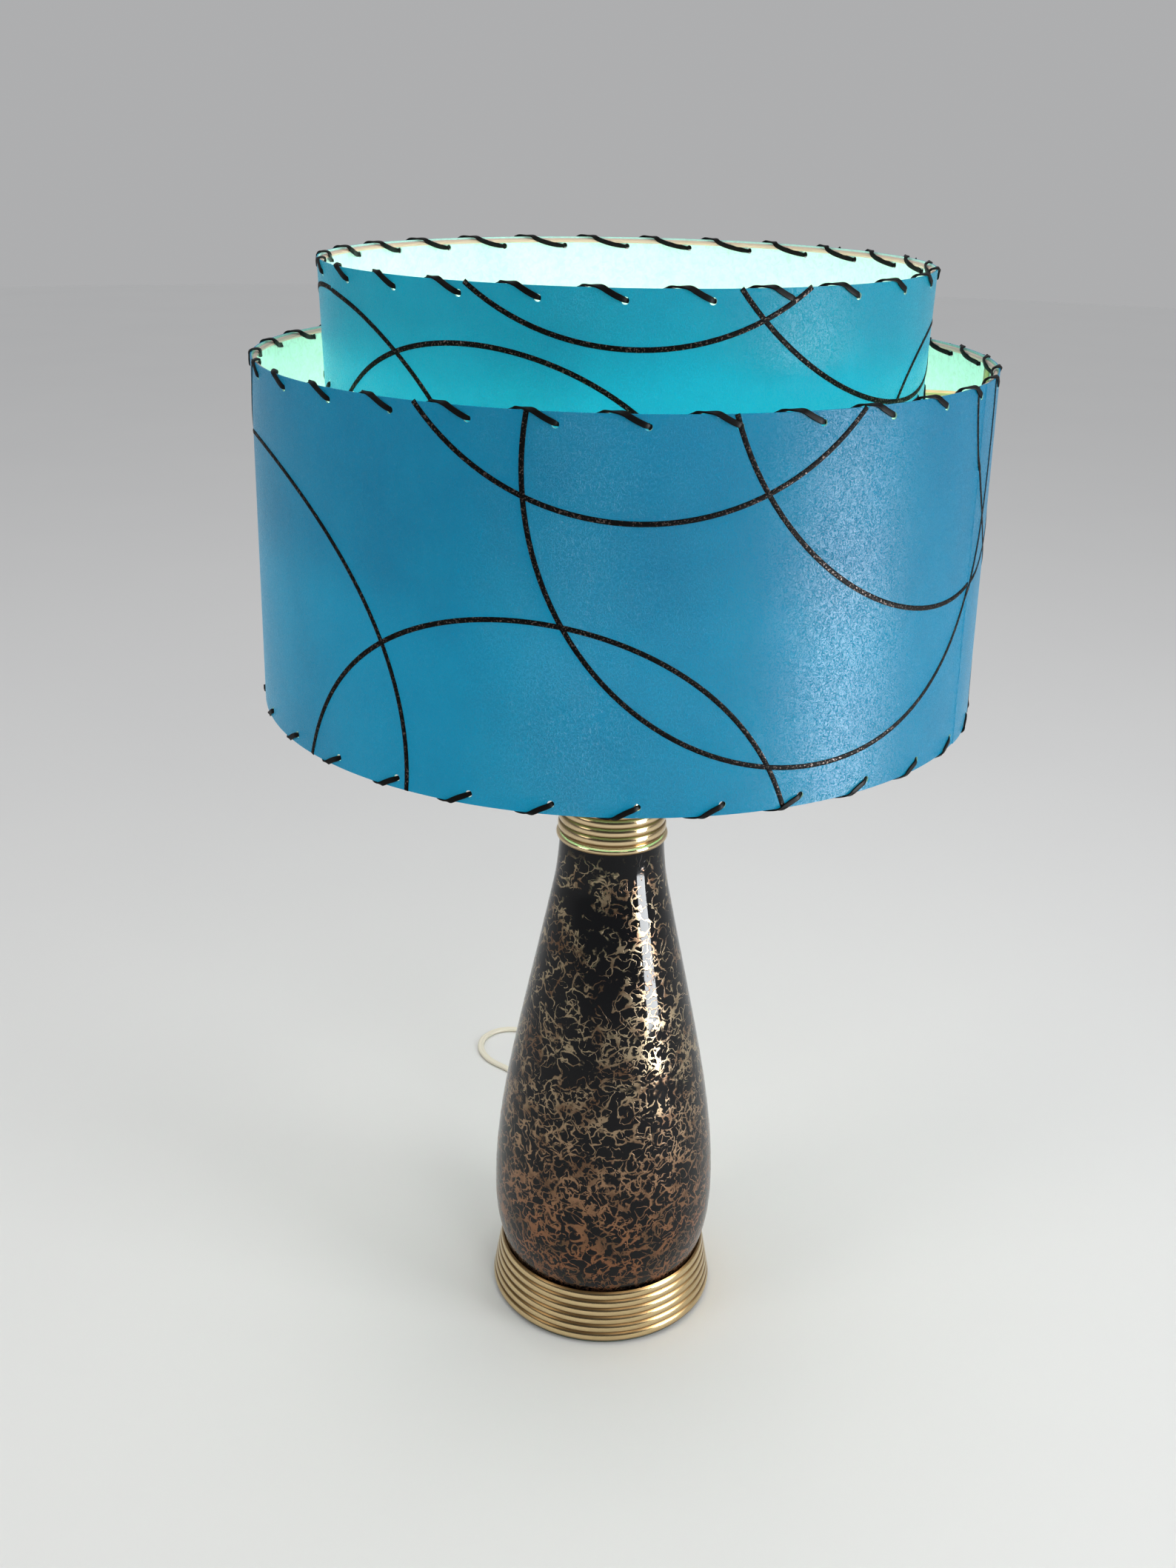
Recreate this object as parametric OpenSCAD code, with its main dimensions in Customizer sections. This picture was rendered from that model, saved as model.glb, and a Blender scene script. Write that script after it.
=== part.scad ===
// Table lamp with a two-tier laced shade, a tapered ceramic body, brass base and neck,
// a turn-knob socket on a detachable harp, and a coiled cord with its plug.
// Millimetres, +Z up. The origin is on the table, under the middle of the base.
// -Y is the front: the cord leaves at the back, +Y.

/* [Base] */
// Radius of the brass base where it stands
base_r = 74.4; // [70:0.2:80]
// Radius of the brass base at its top rim
base_top_r = 68.4; // [67.6:0.2:70]
// Height of the top rim of the brass base
base_h = 37; // [34:0.5:40]
// Number of rounded ribs around the base
base_ribs = 6; // [4:1:8]
// Thickness of the spun brass
brass_t = 1.1; // [0.8:0.1:1.4]
// Thickness of the felt under the base
felt_t = 2; // [1:0.5:3]

/* [Ceramic body] */
// Widest radius of the ceramic body
body_r = 72.3; // [70:0.1:74]
// Height of the top of the ceramic body
body_top = 336; // [330:1:336]
// Thickness of the ceramic wall
body_wall = 5; // [3:0.5:8]

/* [Neck] */
// Radius of the bead at the bottom of the neck cap
cap_r = 34.3; // [34:0.1:36]
// Number of ribs on the neck cap
cap_ribs = 4; // [2:1:6]
// Radius of the tube between the neck cap and the harp saddle
neck_tube_r = 7.6; // [6.5:0.1:10]

/* [Shade] */
// Outer radius of the lower tier at its bottom rim
lower_bottom_r = 203.2; // [200:0.2:206]
// Outer radius of the lower tier at its top rim
lower_top_r = 200.4; // [198:0.2:204]
// Height of the bottom rim of the lower tier
lower_z0 = 432; // [428:1:436]
// Height of the top rim of the lower tier
lower_z1 = 621; // [618:1:626]
// Outer radius of the upper tier at its bottom rim
upper_bottom_r = 162.2; // [158:0.2:164]
// Outer radius of the upper tier at its top rim
upper_top_r = 163.6; // [158:0.2:166]
// Height of the bottom rim of the upper tier
upper_z0 = 604; // [603:1:605]
// Height of the top rim of the upper tier
upper_z1 = 669.6; // [660:0.2:680]
// Thickness of the shade's sheet
skin_t = 0.8; // [0.6:0.1:1]
// Number of lace stitches around each rim of the upper tier
upper_stitches = 26; // [20:1:30]
// Number of lace stitches around each rim of the lower tier
lower_stitches = 31; // [26:1:36]

/* [Harp] */
// Width of the harp between its wires' centres
harp_w = 114; // [100:1:120]
// Thickness of the harp wire
harp_wire_d = 3.2; // [2.8:0.1:3.6]
// Height of the centre of the wire at the harp's crown
crown_z = 601.4; // [600:0.1:602]

/* [Bulb and socket] */
// Widest radius of the bulb's glass
bulb_r = 30; // [28:0.5:32]
// Height of the top of the bulb
bulb_top = 559; // [550:1:562]
// Outer radius of the socket's shell
shell_r = 16.4; // [16:0.1:17]

/* [Cord] */
// Width of the flat twin cord
cord_w = 5.4; // [5:0.1:6]
// Thickness of the flat twin cord
cord_t = 2.8; // [2.6:0.1:3]
// Radius of the outermost turn of the coil, at the cord's centre
coil_r = 41; // [38:0.5:44]
// Turns side by side in each layer of the coil
coil_turns = 3; // [2:1:4]
// Layers of the coil
coil_layers = 3; // [2:1:3]

/* [Hidden] */
$fn = 96;

// Small gap between pieces that touch
gap = 0.1;

// 1/8 IP pipe that ties the lamp together
pipe_r = 4.85;
pipe_bore_r = 3.25;
pipe_hole_r = 5.1;
pipe_z0 = 15;
pipe_z1 = 421;

// Web inside the base, which the ceramic stands on
web_z = 24;
web_top = web_z + brass_t;
foot_z = web_top + gap;

// Knots of the ceramic body's outline: height, radius and slope of the radius
body_knots = [[foot_z, 59.8, 0.75], [31, 63.4, 0.45], [80, body_r, 0],
    [185, 59.6, -0.2], [300, 35.6, -0.2], [body_top, 31.8, -0.06]];

// Neck
neck_washer_z = body_top + gap;
neck_washer_t = 1.8;
neck_washer_r = 31.6;
cap_z0 = 332;
cap_step_z = neck_washer_z + neck_washer_t + gap;
cap_rib_z1 = 360;
cap_top_z = 376;
cap_collar_r = 9;
tube_z0 = cap_top_z + gap;
tube_z1 = 409;
neck_nut_z = tube_z1 + gap;
nut_flats = 17;
nut_h = 5.6;
saddle_z = 415;
saddle_t = 1.5;
saddle_eye_r = 9;

// Socket
hub_z = saddle_z + saddle_t + gap;
hub_r = 8;
dome_z = 423;
skirt_z = 432;
skirt_top = 437;
socket_cap_r = 17.4;
socket_cap_t = 0.8;
shell_z0 = 433;
shell_z1 = 478;
shell_t = 0.6;
interior_r = 13.9;
interior_z0 = 426.8;
interior_floor = 445;
interior_z1 = 452;
shaft_z = 441;
shaft_r = 1.6;
running = 0.05;

// Bulb
bulb_neck_r = 14;
bulb_neck_z = 482;
bulb_mid_z = bulb_top - bulb_r;
bulb_wall = 0.8;
bulb_cap_r = 13.1;
bulb_cap_z1 = 478.4;

// Harp
wire_r = harp_wire_d / 2;
leg_x = 28;
leg_z0 = 432.4;
leg_z1 = 454;
flare_r = 40;
flare_angle = 35;
crown_r = 45;
ferrule_r = 3.7;
ferrule_bore_r = 2.95;
ferrule_h = 12;
ferrule_z = 426;
seat_r = 9.5;
seat_z = 607.5;
boss_r = 5.45;
stud_r = 3.175;
stud_top = 618;

// Shade frame
ring_wire_r = 1.25;
spoke_r = 1.5;
spoke_bend_r = 8;
spoke_end_r = 198;
hub_plate_r = 19;
hub_plate_t = 1.4;
hub_plate_z = seat_z + gap;
spoke_hub_z = hub_plate_z - spoke_r + gap;
spoke_ring_z = 602.3;
// Depth to which a spoke's end is welded into its ring
spoke_weld = 0.15;

// Lacing
lace_w = 3;
lace_t = 0.9;
lace_run = 11;
lace_inset = 5.4;
lace_hole_r = 1.6;

// Cord: exit behind the base, middle of the coil, and plug
exit_z = 8;
exit_y = 95;
coil_x = 22;
coil_y = 207;
coil_pitch = cord_w + 0.1;
coil_inner_r = coil_r - coil_turns * coil_pitch;
plug_x = coil_x + 40;
plug_y = 150;
plug_z = 7;
plug_l = 30;

// The lead's route from the base to the coil, laid on the table
lead_route = [[0, 95, 8], [0, 102, 7.6], [-1, 110, 6], [-3, 119, 3.8], [-6, 128, 2.2],
    [-11, 139, 1.4], [-20, 155, 1.4], [-32, 173, 1.4], [-44, 193, 1.4], [-55, 215, 1.4],
    [-66, 233, 1.4], [-82, 248, 1.4], [-98, 261, 1.4], [-107, 278, 1.4], [-106, 296, 1.4],
    [-94, 309, 1.4], [-77, 311, 1.4], [-60, 303, 1.4], [-43, 291, 1.4], [-26, 278, 1.4],
    [-10, 265, 1.4], [5, 254, 1.4], [22, 248, 1.4]];

// The tail's route from the top of the coil to the plug
tail_route = [for (i = [0 : 5]) [plug_x, coil_y + (plug_y - coil_y) * i / 5, plug_z]];

// Cubic curve between two knots of height, radius and slope, at t from 0 to 1
function knot_curve(a, b, t) =
    let (h = b[0] - a[0],
        r = (1 - 3 * t * t + 2 * t * t * t) * a[1] + (3 * t * t - 2 * t * t * t) * b[1]
            + (t - 2 * t * t + t * t * t) * h * a[2] + (t * t * t - t * t) * h * b[2])
    [r, a[0] + h * t];

// Outline through all knots, with a number of steps between each pair
function knot_outline(knots, steps) = concat(
    [for (k = [0 : len(knots) - 2], i = [0 : steps - 1]) knot_curve(knots[k], knots[k + 1], i / steps)],
    [knot_curve(knots[len(knots) - 2], knots[len(knots) - 1], 1)]);

// Points on an arc in the radius-height plane
function arc_points(centre, r, from, to, steps) =
    [for (i = [0 : steps]) let (a = from + (to - from) * i / steps)
        [centre[0] + r * cos(a), centre[1] + r * sin(a)]];

// A ribbed outline from [r0, z0] to [r1, z1], each rib standing proud by rib
function ribbed(r0, z0, r1, z1, ribs, rib, steps) =
    [for (k = [0 : ribs * steps]) let (t = k / (ribs * steps), s = (k % steps) / steps)
        [r0 + (r1 - r0) * t + rib * sin(180 * s), z0 + (z1 - z0) * t]];

function moved_in(points, by) = [for (p = points) [p[0] - by, p[1]]];
function backwards(points) = [for (i = [len(points) - 1 : -1 : 0]) points[i]];
function without_first(points) = [for (i = [1 : len(points) - 1]) points[i]];

// Solid of revolution between an outline and a second one, listed from bottom to top
module turned(outer, inner) {
    rotate_extrude() polygon(concat(outer, backwards(inner)));
}

module ring_plate(r_out, r_in, z, t) {
    translate([0, 0, z]) difference() {
        cylinder(r = r_out, h = t);
        translate([0, 0, -1]) cylinder(r = r_in, h = t + 2);
    }
}

module hex_nut(flats, r_in, z, h) {
    translate([0, 0, z]) difference() {
        cylinder(d = flats / cos(30), h = h, $fn = 6);
        translate([0, 0, -1]) cylinder(r = r_in, h = h + 2);
    }
}

module wire_ring(r, z) {
    color("tan") translate([0, 0, z]) rotate_extrude() translate([r, 0]) circle(r = ring_wire_r, $fn = 24);
}

// Swept flat cord: rings of 8 points, side to side level, along the route
function ring_shape() = [for (a = [22.5 : 45 : 360])
    [sign(cos(a)) * min(cord_w / 2, abs(cos(a)) * cord_w * 0.54),
        sign(sin(a)) * min(cord_t / 2, abs(sin(a)) * cord_t * 0.54)]];
function unit(v) = v / norm(v);
function heading(path, i) =
    unit(path[min(i + 1, len(path) - 1)] - path[max(i - 1, 0)]);
function level_side(h) = unit([-h[1], h[0], 0]);
function smooth_point(a, b, c, d, t) = 0.5 * (2 * b + (c - a) * t
    + (2 * a - 5 * b + 4 * c - d) * t * t + (3 * b - a - 3 * c + d) * t * t * t);
function smooth_path(p, steps) = concat(
    [for (k = [0 : len(p) - 2], i = [0 : steps - 1])
        smooth_point(p[max(k - 1, 0)], p[k], p[k + 1], p[min(k + 2, len(p) - 1)], i / steps)],
    [p[len(p) - 1]]);

// Closed skin over rings of n points each, laid one after another
module skin(points, n) {
    rings = len(points) / n;
    walls = [for (i = [0 : rings - 2], j = [0 : n - 1])
        [i * n + j, (i + 1) * n + j, (i + 1) * n + (j + 1) % n, i * n + (j + 1) % n]];
    first = [for (j = [0 : n - 1]) j];
    last = [for (j = [n - 1 : -1 : 0]) (rings - 1) * n + j];
    polyhedron(points = points, faces = concat(walls, [first, last]), convexity = 8);
}

module flat_cord(route, steps) {
    path = smooth_path(route, steps);
    shape = ring_shape();
    skin([for (i = [0 : len(path) - 1])
        let (h = heading(path, i), s = level_side(h), u = cross(h, s))
        for (q = shape) path[i] + s * q[0] + u * q[1]], len(shape));
}

// Round wire bent in the XZ plane, along points of x and z
module bent_wire(line, r, sides = 16) {
    path = [for (p = line) [p[0], 0, p[1]]];
    skin([for (i = [0 : len(path) - 1])
        let (s = [0, 1, 0], u = cross(heading(path, i), s))
        for (j = [0 : sides - 1]) path[i] + r * (s * cos(j * 360 / sides) + u * sin(j * 360 / sides))],
        sides);
}

// ---- Base ----

module felt_pad() {
    color("darkgreen") ring_plate(base_r - 2.4, 20, 0, felt_t);
}

base_outer = ribbed(base_r - 1, felt_t, base_top_r - 1, base_h, base_ribs, 1, 6);

// The web's edge is buried in the wall, where the wall's grooves are at the top of the web.
web_r = base_r - 1 - (base_r - base_top_r) * (web_top - felt_t) / (base_h - felt_t) - 0.15;

module base_cup() {
    color("goldenrod") difference() {
        union() {
            turned(base_outer, moved_in(base_outer, brass_t));
            ring_plate(base_r - 1 - brass_t / 2, base_r - 9, felt_t + gap, brass_t);
            ring_plate(web_r, pipe_hole_r, web_z, brass_t);
        }
        translate([0, 0, exit_z]) rotate([-90, 0, 0]) cylinder(r = 4.6, h = base_r + 10);
    }
}

module base_weight() {
    color("dimgray") difference() {
        ring_plate(63, 24, 4, web_z - 4 - gap);
        translate([-6, 0, 2]) cube([12, base_r, exit_z + 4]);
    }
}

module bottom_washer() {
    color("silver") ring_plate(20, pipe_hole_r, web_z - 2 - gap, 2);
}

module bottom_nut() {
    color("silver") hex_nut(nut_flats, pipe_r + running, web_z - 2 - gap - gap - nut_h, nut_h);
}

module threaded_pipe() {
    color("silver") translate([0, 0, pipe_z0]) difference() {
        cylinder(r = pipe_r, h = pipe_z1 - pipe_z0);
        translate([0, 0, -1]) cylinder(r = pipe_bore_r, h = pipe_z1 - pipe_z0 + 2);
    }
}

// ---- Ceramic body and neck ----

module ceramic_body() {
    outer = knot_outline(body_knots, 8);
    color("black") turned(outer, moved_in(outer, body_wall));
}

module neck_washer() {
    color("silver") ring_plate(neck_washer_r, pipe_hole_r, neck_washer_z, neck_washer_t);
}

module neck_cap() {
    bead = arc_points([cap_r - 2.4, cap_z0 + 2.4], 2.4, -75, 60, 8);
    skirt_in = neck_washer_r + 0.6;
    ribs = ribbed(cap_r - 1.7, cap_step_z, cap_r - 3.6, cap_rib_z1, cap_ribs, 0.9, 6);
    shoulder = [for (a = [15 : 15 : 90])
        [cap_collar_r + (cap_r - 3.6 - cap_collar_r) * cos(a),
            cap_rib_z1 + (cap_top_z - cap_rib_z1) * sin(a)]];
    inside = [[pipe_hole_r, cap_top_z - brass_t], [cap_collar_r, cap_top_z - brass_t],
        [cap_r - 6, cap_rib_z1 + 3], [cap_r - 3.6 - brass_t, cap_rib_z1 - 2],
        [cap_r - 3.2 - brass_t, cap_step_z], [skirt_in, cap_step_z],
        [skirt_in, cap_z0 + gap]];
    color("goldenrod") rotate_extrude()
        polygon(concat(bead, ribs, shoulder, [[pipe_hole_r, cap_top_z]], inside));
}

module neck_tube() {
    bead = 1.5;
    color("goldenrod") difference() {
        union() {
            translate([0, 0, tube_z0]) cylinder(r = neck_tube_r, h = tube_z1 - tube_z0);
            for (z = [tube_z0 + bead, tube_z1 - bead])
                translate([0, 0, z]) rotate_extrude() translate([neck_tube_r, 0]) circle(r = bead, $fn = 24);
        }
        translate([0, 0, tube_z0 - 1]) cylinder(r = pipe_hole_r, h = tube_z1 - tube_z0 + 2);
    }
}

module neck_nut() {
    color("goldenrod") hex_nut(nut_flats, pipe_r + running, neck_nut_z, nut_h);
}

// ---- Harp ----

module harp_saddle() {
    arm = [[21, saddle_z], [leg_x + 2, saddle_z + 8.4], [leg_x + 2, saddle_z + 10.9],
        [leg_x - 2.4, saddle_z + 10.9], [20.4, saddle_z + saddle_t]];
    strip = concat(arm, [for (p = backwards(arm)) [-p[0], p[1]]]);
    tab_z0 = saddle_z + 10;
    color("goldenrod") difference() {
        union() {
            rotate([90, 0, 0]) linear_extrude(height = 10, center = true) polygon(strip);
            translate([0, 0, saddle_z]) cylinder(r = saddle_eye_r, h = saddle_t);
            for (x = [-leg_x, leg_x])
                translate([x - 0.75, -2.3, tab_z0]) cube([1.5, 4.6, leg_z0 - 0.3 - tab_z0]);
        }
        translate([0, 0, saddle_z - 1]) cylinder(r = pipe_hole_r, h = saddle_t + 2);
    }
}

// One side of the harp, as arcs that meet tangentially
flare_end = [leg_x + flare_r * (1 - cos(flare_angle)), leg_z1 + flare_r * sin(flare_angle)];
side_r = (harp_w / 2 - flare_end[0]) / (1 - cos(flare_angle));
side_top = flare_end[1] + side_r * sin(flare_angle);
crown_start = crown_z - crown_r;

// Centre line of the harp's right half, from its foot to the crown
harp_half = concat([[leg_x, leg_z0]],
    arc_points([leg_x + flare_r, leg_z1], flare_r, 180, 180 - flare_angle, 8),
    without_first(arc_points([harp_w / 2 - side_r, side_top], side_r, -flare_angle, 0, 8)),
    arc_points([harp_w / 2 - crown_r, crown_start], crown_r, 0, 90, 14));

module harp_wire() {
    color("goldenrod")
        bent_wire(concat(harp_half, [for (p = backwards(harp_half)) [-p[0], p[1]]]), wire_r);
}

module harp_stud() {
    color("goldenrod") {
        translate([-7, -4, crown_z - wire_r - 1]) cube([14, 8, 2 * wire_r + 2]);
        translate([0, 0, crown_z + wire_r]) cylinder(r = seat_r, h = seat_z - crown_z - wire_r);
        cylinder_from(boss_r, seat_z - 0.5, hub_plate_z + hub_plate_t - gap);
        cylinder_from(stud_r, seat_z - 0.5, stud_top);
    }
}

module cylinder_from(r, z0, z1) {
    translate([0, 0, z0]) cylinder(r = r, h = z1 - z0);
}

module harp_ferrule(x) {
    color("goldenrod") translate([x, 0, 0]) difference() {
        cylinder_from(ferrule_r, ferrule_z, ferrule_z + ferrule_h);
        cylinder_from(ferrule_bore_r, ferrule_z - 1, ferrule_z + ferrule_h + 1);
    }
}

module harp_ferrule_left() { harp_ferrule(-leg_x); }
module harp_ferrule_right() { harp_ferrule(leg_x); }

// ---- Socket and switch ----

module socket_cap() {
    outer = concat([[hub_r, hub_z], [hub_r, dome_z]],
        [for (a = [75 : -15 : 0]) [hub_r + (socket_cap_r - hub_r) * cos(a),
            skirt_z - (skirt_z - dome_z) * sin(a)]],
        [[socket_cap_r, skirt_top]]);
    inner = [[pipe_r + running, hub_z], [pipe_r + running, dome_z + 0.6], [hub_r, dome_z + 0.6],
        [socket_cap_r - 3.5, dome_z + 3.6], [socket_cap_r - socket_cap_t, skirt_z],
        [socket_cap_r - socket_cap_t, skirt_top]];
    color("goldenrod") difference() {
        turned(outer, inner);
        translate([0, 0, hub_z + 3]) rotate([0, 90, 0]) cylinder(r = 1.3, h = hub_r + 1, $fn = 24);
    }
}

module set_screw() {
    color("silver") translate([pipe_r + 0.3, 0, hub_z + 3]) rotate([0, 90, 0]) difference() {
        cylinder(r = 1.25, h = 5, $fn = 24);
        translate([-0.25, -2, 4.2]) cube([0.5, 4, 2]);
    }
}

module side_hole(r, z) {
    translate([0, 0, z]) rotate([90, 0, 0]) cylinder(r = r, h = 30, $fn = 32);
}

module socket_shell() {
    color("goldenrod") difference() {
        union() {
            ring_plate(shell_r, shell_r - shell_t, shell_z0, shell_z1 - shell_z0);
            translate([0, 0, shell_z1 - 1]) rotate_extrude() translate([shell_r, 0])
                circle(r = 0.9, $fn = 24);
        }
        side_hole(3, shaft_z);
    }
}

module socket_insulator() {
    color("burlywood") difference() {
        ring_plate(shell_r - shell_t - gap, shell_r - shell_t - 0.8, shell_z0, shell_z1 - shell_z0 - 2);
        side_hole(3, shaft_z);
    }
}

module socket_interior() {
    color("black") difference() {
        cylinder_from(interior_r, interior_z0, interior_z1);
        cylinder_from(interior_r - 2, interior_floor, interior_z1 + 1);
        translate([0, -5, shaft_z]) rotate([90, 0, 0]) cylinder(r = shaft_r + running, h = 20, $fn = 32);
        for (x = [-1, 1]) translate([x * (interior_r - 2.4), 0, 432]) rotate([0, x * 90, 0])
            cylinder(r = 3.2, h = 5, $fn = 32);
    }
}

module terminal_screws() {
    color("goldenrod") for (x = [-1, 1])
        translate([x * (interior_r - 2.3), 0, 432]) rotate([0, x * 90, 0]) difference() {
            cylinder(r = 3, h = 1.8, $fn = 32);
            translate([-0.4, -4, 1.2]) cube([0.8, 8, 2]);
        }
}

module screw_shell() {
    color("silver") ring_plate(interior_r, interior_r - 0.5, interior_z1 + gap, shell_z1 - interior_z1 - 3);
}

module centre_contact() {
    color("goldenrod") cylinder_from(3.5, interior_floor + gap, interior_floor + 1);
}

module inner_lead() {
    bend = pipe_z0 - exit_z;
    color("ivory") {
        cylinder_from(2.6, pipe_z0, interior_z0 - gap);
        translate([0, bend, pipe_z0]) rotate([90, 0, -90]) rotate([0, 0, -90])
            rotate_extrude(angle = 90) translate([bend, 0]) circle(r = 2.6, $fn = 24);
        translate([0, bend, exit_z]) rotate([-90, 0, 0]) cylinder(r = 2.6, h = 66 - gap - bend, $fn = 24);
    }
}

module switch_shaft() {
    color("goldenrod") translate([0, -6, shaft_z]) rotate([90, 0, 0])
        cylinder(r = shaft_r, h = 18, $fn = 32);
}

module switch_knob() {
    color("black") translate([0, -19, shaft_z]) rotate([90, 0, 0]) difference() {
        union() {
            cylinder(r1 = 2.8, r2 = 3.4, h = 8, $fn = 32);
            translate([0, 0, 7]) cylinder(r1 = 3.4, r2 = 5.6, h = 3, $fn = 32);
            translate([0, 0, 10]) cylinder(r = 5.6, h = 11, $fn = 32);
        }
        translate([0, 0, -1]) cylinder(r = shaft_r, h = 6, $fn = 32);
        for (a = [0 : 45 : 315]) rotate([0, 0, a]) translate([6.2, 0, 8])
            cylinder(r = 1.2, h = 20, $fn = 24);
    }
}

// ---- Bulb ----

module bulb_foot() {
    color("black") {
        cylinder_from(4.4, interior_floor + 1 + gap, interior_floor + 3);
        translate([0, 0, interior_floor + 2.5]) cylinder(r1 = 5, r2 = 11, h = 4.6);
    }
}

module bulb_base() {
    z0 = interior_floor + 7.1 + gap;
    color("silver") ring_plate(bulb_cap_r, bulb_cap_r - 0.5, z0, bulb_cap_z1 - z0);
}

// Radius of the hollow curve that joins the bulb's neck to its round end
bulb_hollow_r = (pow(bulb_r, 2) - pow(bulb_neck_r, 2) - pow(bulb_mid_z - bulb_neck_z, 2))
    / (2 * (bulb_neck_r - bulb_r));
bulb_join_angle = atan2(bulb_mid_z - bulb_neck_z, bulb_neck_r + bulb_hollow_r);
bulb_outline = concat(
    [[bulb_cap_r - 0.7, bulb_cap_z1 - 12], [bulb_cap_r - 0.7, bulb_cap_z1], [bulb_neck_r, bulb_cap_z1 + 1]],
    arc_points([bulb_neck_r + bulb_hollow_r, bulb_neck_z], bulb_hollow_r, 180, 180 - bulb_join_angle, 8),
    arc_points([0, bulb_mid_z], bulb_r, -bulb_join_angle, 90, 16));

module bulb_glass() {
    color("white") difference() {
        rotate_extrude() polygon(concat(bulb_outline, [[0, bulb_cap_z1 - 12]]));
        translate([0, 0, -0.01]) rotate_extrude() polygon(concat(
            [[bulb_cap_r - 0.7 - bulb_wall, bulb_cap_z1 - 13], [bulb_cap_r - 0.7 - bulb_wall, bulb_cap_z1]],
            arc_points([bulb_neck_r + bulb_hollow_r, bulb_neck_z], bulb_hollow_r + bulb_wall,
                180, 180 - bulb_join_angle, 8),
            arc_points([0, bulb_mid_z], bulb_r - bulb_wall, -bulb_join_angle, 90, 16),
            [[0, bulb_cap_z1 - 13]]));
    }
}

module bulb_stem() {
    color("lightgray") {
        cylinder_from(4, bulb_cap_z1 - 10, bulb_neck_z + 14);
        cylinder_from(1, bulb_neck_z + 13.5, bulb_mid_z);
        for (x = [-9, 9]) translate([x, 0, bulb_mid_z - 6]) cylinder(r = 0.5, h = 12, $fn = 16);
        translate([-9.5, 0, bulb_mid_z - 5.5]) rotate([0, 90, 0]) cylinder(r = 0.7, h = 19, $fn = 16);
        translate([-9, 0, bulb_mid_z + 5]) rotate([0, 90, 0]) cylinder(r = 0.6, h = 18, $fn = 16);
    }
}

// ---- Shade ----

// Inner radius of each tier's sheet at a height
function upper_in(z) = upper_bottom_r - skin_t
    + (upper_top_r - upper_bottom_r) * (z - upper_z0) / (upper_z1 - upper_z0);
function lower_in(z) = lower_bottom_r - skin_t
    + (lower_top_r - lower_bottom_r) * (z - lower_z0) / (lower_z1 - lower_z0);
ring_in = ring_wire_r + 0.1;

module tier(r0, r1, z0, z1, stitches, phase) {
    difference() {
        rotate_extrude() polygon([[r0, z0], [r1, z1], [r1 - skin_t, z1], [r0 - skin_t, z0]]);
        for (k = [0 : stitches - 1], z = [z0 + lace_inset, z1 - lace_inset])
            rotate([0, 0, phase + k * 360 / stitches]) translate([r1 - 8, 0, z]) rotate([0, 90, 0])
                cylinder(r = lace_hole_r, h = 16, $fn = 24);
    }
}

// Angle of the first stitch of each tier, from +X
upper_phase = -90;
lower_phase = -86.7;

module upper_tier() {
    color("darkturquoise") tier(upper_bottom_r, upper_top_r, upper_z0, upper_z1, upper_stitches, upper_phase);
}

module lower_tier() {
    color("deepskyblue") tier(lower_bottom_r, lower_top_r, lower_z0, lower_z1, lower_stitches, lower_phase);
}

module ring_upper_top() { wire_ring(upper_in(upper_z1) - ring_in, upper_z1 - ring_wire_r); }
module ring_upper_bottom() { wire_ring(upper_in(upper_z0) - ring_in, upper_z0 + ring_wire_r); }
module ring_lower_top() { wire_ring(lower_in(lower_z1) - ring_in, lower_z1 - ring_wire_r); }
module ring_lower_bottom() { wire_ring(lower_in(lower_z0) - ring_in, lower_z0 + ring_wire_r); }

// One row of stitches: a slanted strip outside, one over the rim and one inside.
// up is 1 at a top rim and -1 at a bottom rim.
module lace(r_rim, z_rim, stitches, phase, up) {
    depth = skin_t + 2 * ring_wire_r + 0.3;
    slant = atan2(lace_inset, lace_run);
    length = norm([lace_inset, lace_run]) + lace_w;
    middle_z = z_rim - up * lace_inset / 2;
    over_z = z_rim + up * (gap + lace_t / 2);
    color("black") for (k = [0 : stitches - 1]) rotate([0, 0, phase + k * 360 / stitches]) {
        lace_strip(r_rim + 0.6, r_rim, lace_run / 2, middle_z, -up * slant, [lace_t, length, lace_w]);
        lace_strip(r_rim + (1 - depth) / 2, r_rim, lace_run - lace_w / 2, over_z, 0,
            [depth + lace_t + 1, lace_w, lace_t]);
        lace_strip(r_rim - depth - lace_t, r_rim, lace_run * 1.4, middle_z, up * slant,
            [lace_t, length, lace_w]);
    }
}

// A flat piece of lace at a radius and height, along the rim by an arc length, that faces the axis
module lace_strip(r, r_rim, along, z, slant, size) {
    rotate([0, 0, -asin(along / r_rim)]) translate([r, 0, z]) rotate([slant, 0, 0]) cube(size, center = true);
}

module lace_upper_top() { lace(upper_top_r, upper_z1, upper_stitches, upper_phase, 1); }
module lace_upper_bottom() { lace(upper_bottom_r, upper_z0, upper_stitches, upper_phase, -1); }
module lace_lower_top() { lace(lower_top_r, lower_z1, lower_stitches, lower_phase, 1); }
module lace_lower_bottom() { lace(lower_bottom_r, lower_z0, lower_stitches, lower_phase, -1); }

module spider_spoke() {
    inner_r = 14;
    ring_r = upper_in(upper_z0) - ring_in;
    fall = (spoke_hub_z - spoke_ring_z) / (ring_r - inner_r);
    bend_r = spoke_end_r - spoke_bend_r;
    bend_z = spoke_hub_z - fall * (bend_r - inner_r) + spoke_bend_r;
    bent_wire(concat([[inner_r, spoke_hub_z]],
        arc_points([bend_r, bend_z], spoke_bend_r, -90, 0, 8),
        [[spoke_end_r, lower_z1 - 2 * ring_wire_r + spoke_weld]]), spoke_r);
}

module spider() {
    color("goldenrod") {
        ring_plate(hub_plate_r, boss_r + running, hub_plate_z, hub_plate_t);
        for (a = [0, 120, 240]) rotate([0, 0, a]) spider_spoke();
    }
}

// ---- Finial ----

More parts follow.
